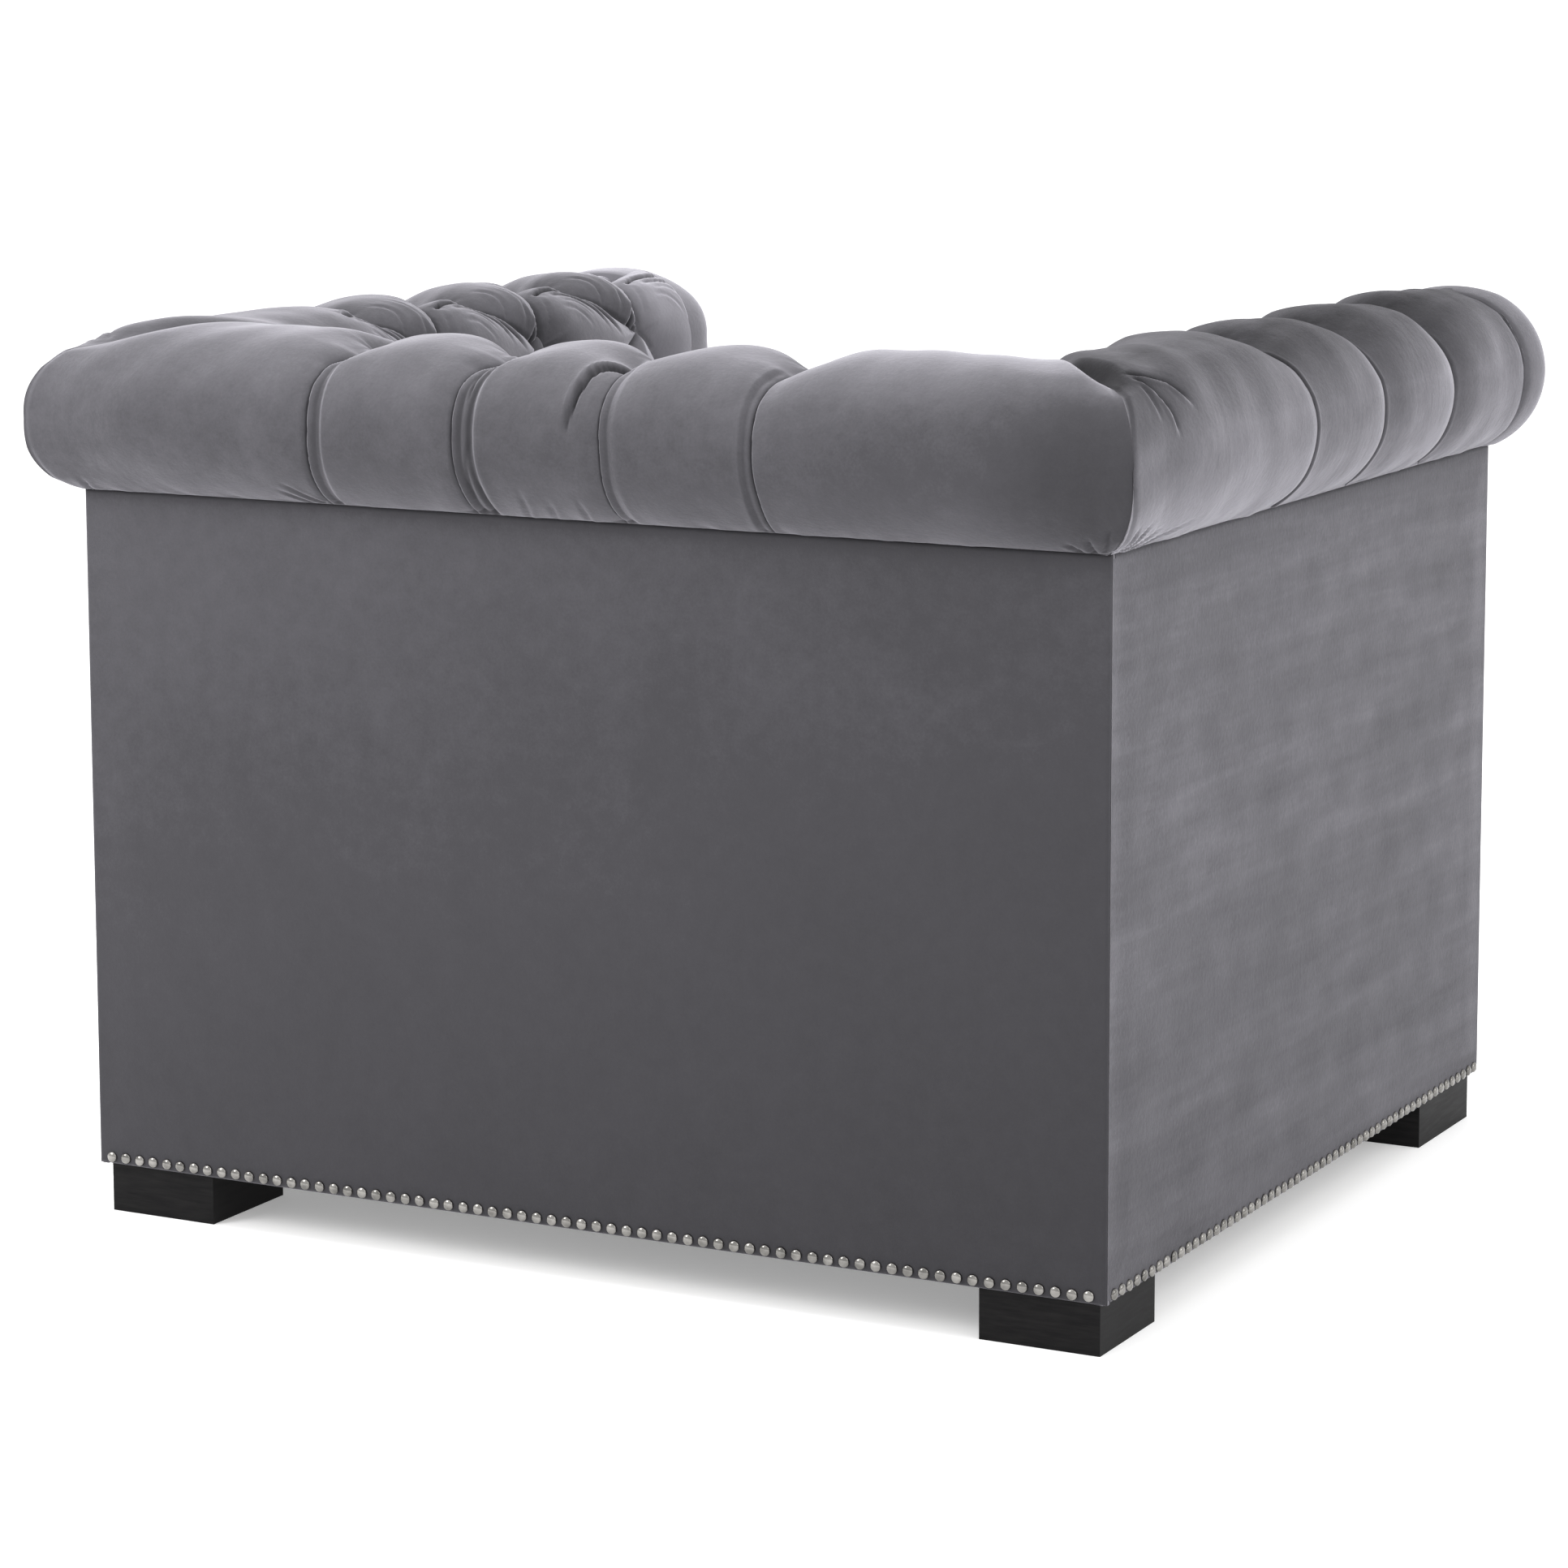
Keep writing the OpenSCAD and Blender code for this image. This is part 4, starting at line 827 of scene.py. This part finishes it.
def panel(name, replaced, material, corner, across, up_to, out, thick, edge, seed, nap_and_painted_light=None, inner=None):
    """A wadded cover: flat back, softly uneven face and rolled edges.

    corner: lowest corner on the face, across: width vector, up_to: height, out: facing vector.
    A function of (u, w), u along and w up, from 0 to 1, may give the painted light and shade of the face.
    inner(z) may give the start of the row at height z, as mm along across.
    """
    corner, across, out = (np.array(a, float) for a in (corner, across, out))
    width = np.linalg.norm(across)
    step = across / width
    na, nb = int(width / 5) + 1, int(up_to / 5) + 1

    def spaced(length, n):
        e = edge * 1.2
        lip = np.array([0, 0.06, 0.15, 0.28, 0.45, 0.7]) * e
        return np.concatenate([lip, np.linspace(e, length - e, n), (length - lip)[::-1]])
    b = spaced(up_to, nb)
    a = spaced(width, na) / width
    start = np.array([inner(z) if inner else 0.0 for z in b + corner[2]])
    s = start[None, :] + a[:, None] * (width - start[None, :])
    h = np.broadcast_to(b[None, :], s.shape)
    rim = [s - start[None, :], width - s, h, up_to - h]
    near = np.minimum.reduce(rim)
    fall = edge * (1 - np.sqrt(np.maximum(0, 1 - (1 - np.clip(near / edge, 0, 1)) ** 2)))
    wave = ripple(seed, (60, 130, 300), 0.35)(s, h) * ease(near / 60)
    lift = np.minimum(PUFF * ease(near / 45) + wave - fall, PUFF + 1.0)
    up = np.array([0, 0, 1.0])
    face = corner + s[..., None] * step + h[..., None] * up + out * lift[..., None]
    n, k = s.shape
    border = rim_of(n, k)
    flat = face.reshape(-1, 3)
    rear = flat[border] - out * ((flat[border] - corner) @ out + thick)[:, None]
    m = len(border)
    walls = [[border[i], n * k + i, n * k + (i + 1) % m, border[(i + 1) % m]] for i in range(m)]
    way = 1 if np.cross(step, up) @ out < 0 else -1
    faces = [quads(n, k)[:, ::way], [w[::way] for w in walls], [list(range(n * k, n * k + m))[::way]]]
    obj = add_mesh(name, np.concatenate([flat, rear]), faces, material)
    # Painted light and shade on the face, and a painted shadow along the top edge under the roll
    panel_painted_light = (nap_and_painted_light(s / width, h / up_to) if nap_and_painted_light else 0 * s) - 0.22 * np.exp(-(up_to - h) / 7)
    paint_pile_and_light(obj, np.concatenate([panel_painted_light.ravel(), np.zeros(m)]))
    dress(obj, "chair_frame", (replaced,))


# Painted light and shade on the outside back: lighter towards the top and the left, darker towards the bottom right
def back_painted_light(u, w):
    return 0.22 * w - 0.10 * u - 0.085


def side_painted_light(u, w):
    """Painted light and shade on an outside arm, u from the back corner: darker towards the bottom, a little darker
    high towards the front, and a painted highlight in a narrow strip at the back corner.
    """
    return 0.04 - 0.13 * (1 - w) - 0.06 * u * w + 0.10 * np.exp(-(u / 0.03) ** 2)


def inside_edge(z):
    """How far the arm's inside face lies from the border's edge, at height z."""
    out = section(np.array([TOP_RUN + ROLL_Z - z]), 0)[0]
    return HALF_W + float(out[0]) - BORDER_X - 0.5


PANEL_H, BOARD_X, BORDER_X = CREASE_Z - FOOT_H, HALF_W - PANEL_T, HALF_W - INSIDE
SIDE_BACK = BACK_Y - 1.2        # the outside arm covers stop just short of the back's
panel("outside_back_cover", "outside_back_panel", "velvet_back", (HALF_W, BACK_Y, FOOT_H), (-2 * HALF_W, 0, 0),
      PANEL_H, (0, 1, 0), PANEL_T, 3.2, 21, back_painted_light)
panel("outside_arm_cover_right", "outside_arm_panel_right", "velvet_side", (-HALF_W, SIDE_BACK, FOOT_H),
      (0, FRONT_Y - SIDE_BACK, 0), PANEL_H, (-1, 0, 0), PANEL_T, 3.2, 22, side_painted_light)
panel("outside_arm_cover_left", "outside_arm_panel_left", "velvet_side", (HALF_W, FRONT_Y, FOOT_H),
      (0, SIDE_BACK - FRONT_Y, 0), PANEL_H, (1, 0, 0), PANEL_T, 3.2, 23, lambda u, w: side_painted_light(1 - u, w))
for side, way, seed in (("left", 1, 24), ("right", -1, 25)):
    panel("arm_front_cover_" + side, "arm_front_" + side, "velvet", (way * BORDER_X, FRONT_Y, FOOT_H),
          (way * (BOARD_X - BORDER_X), 0, 0), PANEL_H, (0, -1, 0), WALL + 0.3, 4, seed, inner=inside_edge)
panel("front_border_cover", "front_border", "velvet", (GAP - BORDER_X, FRONT_Y, FOOT_H),
      (2 * BORDER_X - 2 * GAP, 0, 0), DECK_Z - FOOT_H + 0.4, (0, -1, 0), WALL + 0.3, 4, 26)


# ---- Nails ----
NAIL_Z, NAIL_MARGIN, NAIL_R, NAIL_H = FOOT_H + 6.5, 14.0, 4.75, 2.8
NAIL_RINGS = [(0.35, -3.2), (0.985, -0.6), (1.0, 0.0), (0.97, 0.42)] \
    + [(math.cos(a), 0.42 + (NAIL_H - 0.42) * math.sin(a)) for a in np.linspace(0.32, 1.45, 6)]


def heads(name, slot, replaced, rings, around, radius, uneven, seats):
    """Round heads in one mesh. rings: (share of the radius, height); seats: centre, side, up, out and tilt."""
    points, faces = [], []
    n = len(rings)
    for centre, side, up, out, tilt in seats:
        faces += [quads(n, around, len(points), wrap=True), lids(n, around, len(points))]
        for share, height in rings:
            for t in np.linspace(0, 2 * math.pi, around, endpoint=False):
                r = radius * share * (1 + uneven * math.sin(7 * t))
                a, b = r * math.cos(t), r * math.sin(t)
                points.append(centre + side * a + up * b + out * (height + tilt[0] * a + tilt[1] * b))
    dress(add_mesh(name, points, faces, slot), "chair_frame", (replaced,))


def nail_row(where, count, start, end, out):
    """Domed heads from start to end, turned outward."""
    start, end, out = np.array([*start, NAIL_Z]), np.array([*end, NAIL_Z]), np.array([*out, 0.0])
    side = (end - start) / np.linalg.norm(end - start)
    up = np.cross(out, side)
    name = "dome_nails_" + where
    rng = np.random.default_rng(len(name))
    seats = []
    for i in range(count):
        centre = start + (end - start) * i / (count - 1) + up * rng.normal(0, 0.12) + side * rng.normal(0, 0.15)
        seats.append((centre, side, up, out, rng.normal(0, 0.03, 2)))
    heads(name, "nickel", "nails_" + where, NAIL_RINGS, 20, NAIL_R, 0, seats)


NAIL_X, NAIL_FRONT, NAIL_BACK = HALF_W - NAIL_MARGIN, FRONT_Y + NAIL_MARGIN, BACK_Y - NAIL_MARGIN
OFF_X, OFF_FRONT, OFF_BACK = HALF_W + 0.6, FRONT_Y - 0.6, BACK_Y + 0.6      # the heads' seats, just off the covers
nail_row("back", 66, (NAIL_X, OFF_BACK), (-NAIL_X, OFF_BACK), (0, 1))
nail_row("front", 66, (-NAIL_X, OFF_FRONT), (NAIL_X, OFF_FRONT), (0, -1))
nail_row("left", 57, (OFF_X, NAIL_FRONT), (OFF_X, NAIL_BACK), (1, 0))
nail_row("right", 57, (-OFF_X, NAIL_BACK), (-OFF_X, NAIL_FRONT), (-1, 0))


# ---- Covered buttons ----
BUTTON_R = 12.0
# Domed, with the cover pulled over the rim
BUTTON_RINGS = [(0.55, -1.5), (0.9, -0.8), (1.0, 0.8), (0.99, 2.0), (0.93, 3.2), (0.8, 4.3), (0.6, 5.1),
                (0.35, 5.6), (0.1, 5.8)]


def buttons(name, replaced, places):
    """places: (centre, facing) in mm."""
    seats = []
    for centre, out in places:
        side = np.cross(out, (0, 0, 1.0))
        side = side / np.linalg.norm(side) if np.linalg.norm(side) > 0.1 else np.array([1.0, 0, 0])
        seats.append((centre, side, np.cross(out, side), out, (0, 0)))
    heads(name, "velvet", replaced, BUTTON_RINGS, 28, BUTTON_R, 0.012, seats)


SEAT_MIDDLE = np.array([0, -60, 660])


def button_places(skin, first, bay, step, last=3.0, mirror=False):
    """Where the buttons sit: one row and the next are half a bay apart, up to the last place."""
    places = []
    for row in range(ROWS + 1):
        for k in range(4):
            p = k if row % 2 == 0 else k + 0.5
            if p > last:
                continue
            r, v = first + step * bay * p, row * ROW
            grid = skin(*np.meshgrid([r - 2, r + 2], [v - 2, v + 2]))
            normal = np.cross(grid[0, 1] - grid[0, 0], grid[1, 0] - grid[0, 0])
            centre = grid.mean((0, 1))
            normal /= np.linalg.norm(normal)
            # Outward is towards the seat, and up on the crown
            if normal @ (SEAT_MIDDLE - centre) + (200 * normal[2] if row == 0 else 0) < 0:
                normal = -normal
            centre = centre - normal * (FOLD + DIMPLE + 1.0)
            if mirror:
                centre, normal = centre * (-1, 1, 1), normal * (-1, 1, 1)
            places.append((centre, normal))
    return places


buttons("covered_buttons_back", "back_buttons", button_places(back_skin, -BACK_FIRST, BACK_BAY, 1))
buttons("covered_buttons_left", "arm_buttons_left", button_places(arm_skin, ARM_FIRST, ARM_BAY, -1, 2.5))
buttons("covered_buttons_right", "arm_buttons_right", button_places(arm_skin, ARM_FIRST, ARM_BAY, -1, 2.5, True))


# ---- Seat cushion ----
CUSHION_X = HALF_W - INSIDE - 5 * GAP
CUSHION_FRONT, CUSHION_BACK = FRONT_Y - 4, BACK_Y - INSIDE - LEAN - 5 * GAP
CUSHION_Z, CROWN = DECK_Z + GAP, 16.0
ZIP_L, ZIP_H, ZIP_FLOOR, ZIP_Z = 480.0, 24.0, CUSHION_BACK - 12.0, CUSHION_Z + CUSHION_T / 2
MID_Y, HALF_Y = (CUSHION_FRONT + CUSHION_BACK) / 2, (CUSHION_BACK - CUSHION_FRONT) / 2
CENTRE = np.array([0, MID_Y])
SHRINK, CLOTH_IN = 6.0, 3.4                     # room to swell; the boxing's distance inside the outline
WELT_IN, WELT_R, WELT_LOW, WELT_HIGH = 2.2, 2.6, 5.0, CUSHION_T - 1.0
VOXEL, MOVE_CAP, FRAMES = 0.006, 0.006, 20      # in metres, and frames of the cloth run
CLOTH = {"quality": 5, "mass": 0.25, "use_pressure": True, "uniform_pressure_force": 4.0, "tension_stiffness": 12,
         "compression_stiffness": 12, "shear_stiffness": 12, "bending_stiffness": 0.6}


def plan(angle, grow=0.0):
    """Outline of the cushion at an angle, a squared oval whose sides draw in midway."""
    c, s = np.cos(angle), np.sin(angle)
    k = (np.abs(c) ** 14 + np.abs(s) ** 14) ** (-1 / 14)
    x, y = c * k, s * k
    return np.stack([x * (CUSHION_X + grow - 4 * np.cos(np.pi / 2 * y) ** 2),
                     MID_Y + y * (HALF_Y + grow - 4 * np.cos(np.pi / 2 * x) ** 2)], -1)


def cushion_shell():
    """Closed shell of the cushion, a little small, which leaves room for the cloth to swell."""
    angle = np.linspace(0, 2 * math.pi, 260, endpoint=False)
    edge = plan(angle, -SHRINK) - CENTRE
    top, crown = CUSHION_T - SHRINK * 0.6, CROWN - SHRINK * 0.5
    profile = [(s, SHRINK * 0.2) for s in np.linspace(0.02, 0.97, 26)] \
        + [(1.0, z) for z in np.linspace(3, top - 3, 34)] \
        + [(s, top + crown * (1 - s ** 3.2)) for s in np.linspace(0.975, 0.02, 34)]
    grid = np.array([np.column_stack([CENTRE + edge * share, 0 * angle + CUSHION_Z + z]) for share, z in profile])
    n, k = grid.shape[:2]
    return grid.reshape(-1, 3), [quads(n, k, wrap=True), lids(n, k)]


def places_of(mesh):
    co = np.empty(len(mesh.vertices) * 3)
    mesh.vertices.foreach_get("co", co)
    return co.reshape(-1, 3)


def swell(obj):
    """Voxel remesh, then a cloth run under pressure, whose result is applied to the mesh."""
    scene = bpy.context.scene
    bpy.context.view_layer.objects.active = obj
    obj.data.remesh_voxel_size = VOXEL
    with bpy.context.temp_override(object=obj, active_object=obj, selected_objects=[obj]):
        bpy.ops.object.voxel_remesh()
    start = places_of(obj.data)
    cloth = obj.modifiers.new("cloth", "CLOTH")
    for key, value in CLOTH.items():
        setattr(cloth.settings, key, value)
    cloth.settings.effector_weights.gravity = 0
    cloth.point_cache.frame_start, cloth.point_cache.frame_end = 1, FRAMES
    for f in range(1, FRAMES + 1):
        scene.frame_set(f)
    shaped = obj.evaluated_get(bpy.context.evaluated_depsgraph_get())
    move = places_of(shaped.data) - start
    obj.modifiers.remove(cloth)
    scene.frame_set(1)
    far = np.linalg.norm(move, axis=1, keepdims=True)
    move *= np.minimum(1, MOVE_CAP / np.maximum(far, 1e-9))
    obj.data.vertices.foreach_set("co", (start + move).ravel())
    obj.data.update()


def drawn_to_welts(xy, z):
    """The boxing is cut to the welts' outline: the cloth is drawn out to it all round."""
    levels, turns = 8, np.linspace(-math.pi, math.pi, 121)
    out = xy - CENTRE
    turn = np.arctan2(out[:, 1] / HALF_Y, out[:, 0] / CUSHION_X)
    share = np.hypot(*out.T) / np.hypot(*(plan(turn, -CLOTH_IN) - CENTRE).T)
    # How far the cloth reaches now, by level and turn
    level = np.clip(z / CUSHION_T * (levels - 1), 0, levels - 1.001)
    reach = np.full((levels, 120), 0.9)
    cell = np.round(level).astype(int), np.clip(np.digitize(turn, turns) - 1, 0, 119)
    np.maximum.at(reach, cell, np.minimum(share, 1))
    reach = (np.roll(reach, 1, 1) + reach + np.roll(reach, -1, 1)) / 3
    reached = np.array([np.interp(turn, (turns[1:] + turns[:-1]) / 2, row) for row in reach])
    below, every = level.astype(int), np.arange(len(turn))
    reached = mix(reached[below, every], reached[below + 1, every], level - below)
    drawn = share * mix(1, 1 / reached, ease((share / reached - 0.8) / 0.2))
    # It is pinched into each welt's seam
    pinch = np.exp(-((z - WELT_LOW) / 8) ** 2) + np.exp(-((z - WELT_HIGH) / 10) ** 2)
    drawn = mix(drawn, np.maximum(drawn, 1.001), np.minimum(1, 1.4 * pinch) * ease((drawn - 0.92) / 0.04))
    return CENTRE + out * (drawn / share)[:, None]


def make_cushion():
    points, faces = cushion_shell()
    obj = add_mesh("seat_cushion_cover", points, faces, "velvet")
    swell(obj)
    co = places_of(obj.data) / MM
    co[:, :2] = drawn_to_welts(co[:, :2], co[:, 2] - CUSHION_Z)
    x, y, z = co.T
    z = np.maximum(z, CUSHION_Z)
    x = np.clip(x, -CUSHION_X - 0.6, CUSHION_X + 0.6)
    y = np.clip(y, CUSHION_FRONT - 8, CUSHION_BACK + 0.6)
    # Recess for the zip in the rear boxing
    window = ease((ZIP_L / 2 + 16 - np.abs(x)) / 12) * ease((22 - np.abs(z - ZIP_Z)) / 8)
    y = np.where(y > CUSHION_BACK - 30, np.minimum(y, mix(CUSHION_BACK + 0.6, ZIP_FLOOR - 1.5, window)), y)
    obj.data.vertices.foreach_set("co", (np.stack([x, y, z], -1) * MM).ravel())
    obj.data.polygons.foreach_set("use_smooth", [True] * len(obj.data.polygons))
    sub = obj.modifiers.new("smooth", "SUBSURF")
    sub.levels = sub.render_levels = 1
    dress(obj, "seat_cushion", ("cushion_cover",))


def welt(name, z):
    """The cord round the cushion at height z."""
    angle, t = (np.linspace(0, 2 * math.pi, count, endpoint=False) for count in (420, 12))
    path = np.column_stack([plan(angle, -WELT_IN), CUSHION_Z + z + 0.5 * np.sin(7 * angle)])
    ahead = np.roll(path, -1, 0) - np.roll(path, 1, 0)
    ahead /= np.linalg.norm(ahead, axis=1, keepdims=True)
    side = np.cross(ahead, [0, 0, 1.0])
    side /= np.linalg.norm(side, axis=1, keepdims=True)
    lift = np.cross(side, ahead)
    ring = path[:, None] + WELT_R * (side[:, None] * np.cos(t)[:, None] + lift[:, None] * np.sin(t)[:, None])
    faces = quads(len(angle) + 1, len(t), wrap=True, flip=True) % (len(angle) * len(t))
    dress(add_mesh(name, ring.reshape(-1, 3), [faces], "velvet"), "seat_cushion", ())


make_cushion()
welt("cushion_welt_top", WELT_HIGH)
welt("cushion_welt_bottom", WELT_LOW)


# ---- Zip ----
TEETH, TOOTH_PITCH = 157, 3
CUBE = ((0, 2, 3, 1), (4, 5, 7, 6), (0, 1, 5, 4), (2, 6, 7, 3), (0, 4, 6, 2), (1, 3, 7, 5))


def make_zip():
    """Two tapes that meet at the teeth, and the teeth."""
    edge = [(ZIP_H / 2, 0.0), (ZIP_H / 2, 0.7), (4, 0.9), (3.2, 1.1)]
    profile = [(-z, y) for z, y in edge] + edge[::-1]
    ring = np.array([[[x, ZIP_FLOOR + y, ZIP_Z + z * (1 - 0.01 * math.sin(x / 9))] for z, y in profile]
                     for x in np.linspace(-ZIP_L / 2, ZIP_L / 2, 121)])
    n, k = ring.shape[:2]
    faces = [quads(n, k, wrap=True), lids(n, k)]
    tape = add_mesh("zip_tape_cloth", ring.reshape(-1, 3), faces, "black_cloth", smooth=False)
    dress(tape, "seat_cushion", ("zip_tape",))
    points, faces = [], []
    for i in range(TEETH):
        middle = -ZIP_L / 2 + 6 + TOOTH_PITCH * i
        below, above = (0.8, 2.8) if i % 2 else (2.8, 0.8)
        points += [(x, y, z) for z in (ZIP_Z - below, ZIP_Z + above) for y in (ZIP_FLOOR + 1.0, ZIP_FLOOR + 2.2)
                   for x in (middle - 1, middle + 1)]
        faces.append([[8 * i + j for j in f] for f in CUBE])
    dress(add_mesh("zip_teeth", points, faces, "nickel", smooth=False), "seat_cushion")


make_zip()


# ---- Deck and dust cover ----
def sheet_grid(name, lo, hi, thick, material, sag, seed):
    """A stretched cloth between two corners, with a folded edge."""
    a, b = np.meshgrid(np.linspace(lo[0], hi[0], 70), np.linspace(lo[1], hi[1], 60), indexing="ij")
    edge = np.minimum.reduce([a - lo[0], hi[0] - a, b - lo[1], hi[1] - b])
    drop = sag * ease(edge / 160) + ripple(seed, (50, 120), 0.18)(a, b) * ease(edge / 30)
    top = np.stack([a, b, hi[2] + drop], -1).reshape(-1, 3)
    low = top - [0, 0, thick]
    n, k = a.shape
    m, border = n * k, rim_of(n, k)
    walls = [[m + one, m + after, after, one] for one, after in zip(border, border[1:] + border[:1])]
    return add_mesh(name, np.concatenate([top, low]), [quads(n, k), quads(n, k, m, flip=True), walls], material)


for name, node, material, thick, sag, seed, under in (
        ("seat_deck_cover", "deck_cover", "velvet", 1.2, -0.3, 31, "deck_padding"),
        ("underside_dust_cover", "dust_cover", "black_cloth", 1.0, -0.4, 32, "rail_back")):
    lo, hi = (np.array(c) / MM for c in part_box(node))
    cover = sheet_grid(name, lo, hi, thick, material, sag, seed)
    dress(cover, "chair_frame", (node,))


# ---- Rigid nodes that stay, with their finish ----
SLOTS = {row["node"]: row["material_slot"] for row in frame["record"]["subparts"]}
for node_name, obj in frame["nodes"].items():
    obj.data.materials.clear()
    obj.data.materials.append(MATS[SLOTS[node_name]])
    if node_name.startswith("feet_"):
        bevel = obj.modifiers.new("eased_edges", "BEVEL")
        bevel.width, bevel.segments, bevel.limit_method = 0.0016, 3, "ANGLE"


# ---- Floor and light ----
FAR = 200.0


def make_stage():
    mesh = bpy.data.meshes.new("floor")
    mesh.from_pydata([(-FAR, -FAR, 0), (FAR, -FAR, 0), (FAR, FAR, 0), (-FAR, FAR, 0)], [], [(0, 1, 2, 3)])
    floor = bpy.data.objects.new("floor", mesh)
    bpy.context.scene.collection.objects.link(floor)
    s = Shader("floor", Roughness=0.9, Base_Color=(0.95, 0.95, 0.95, 1), Specular_IOR_Level=0.0,
               Emission_Color=(1, 1, 1, 1), Emission_Strength=0.28)
    mesh.materials.append(s.mat)
    world = bpy.data.worlds.new("studio")
    bpy.context.scene.world = world
    world.use_nodes = True
    sky = world.node_tree.nodes["Background"]
    sky.inputs["Color"].default_value = (1, 1, 1, 1)
    sky.inputs["Strength"].default_value = 1.08


def area_light(name, place, aim, size, power):
    data = bpy.data.lights.new(name, "AREA")
    data.shape, data.size, data.energy = "SQUARE", size, power
    lamp = bpy.data.objects.new(name, data)
    bpy.context.scene.collection.objects.link(lamp)
    lamp.location = place
    lamp.rotation_mode = "QUATERNION"
    lamp.rotation_quaternion = (Vector(aim) - Vector(place)).to_track_quat("-Z", "Y")


make_stage()
area_light("key", (-3.4, 0.6, 2.4), (0, 0, 0.5), 2.4, 45)
area_light("top", (0.6, 0.0, 3.4), (0, 0, 0.5), 2.6, 70)
area_light("left", (1.7, 2.3, 1.9), (0.3, 0.3, 0.6), 1.3, 38)
bpy.context.scene.view_settings.view_transform = "Standard"
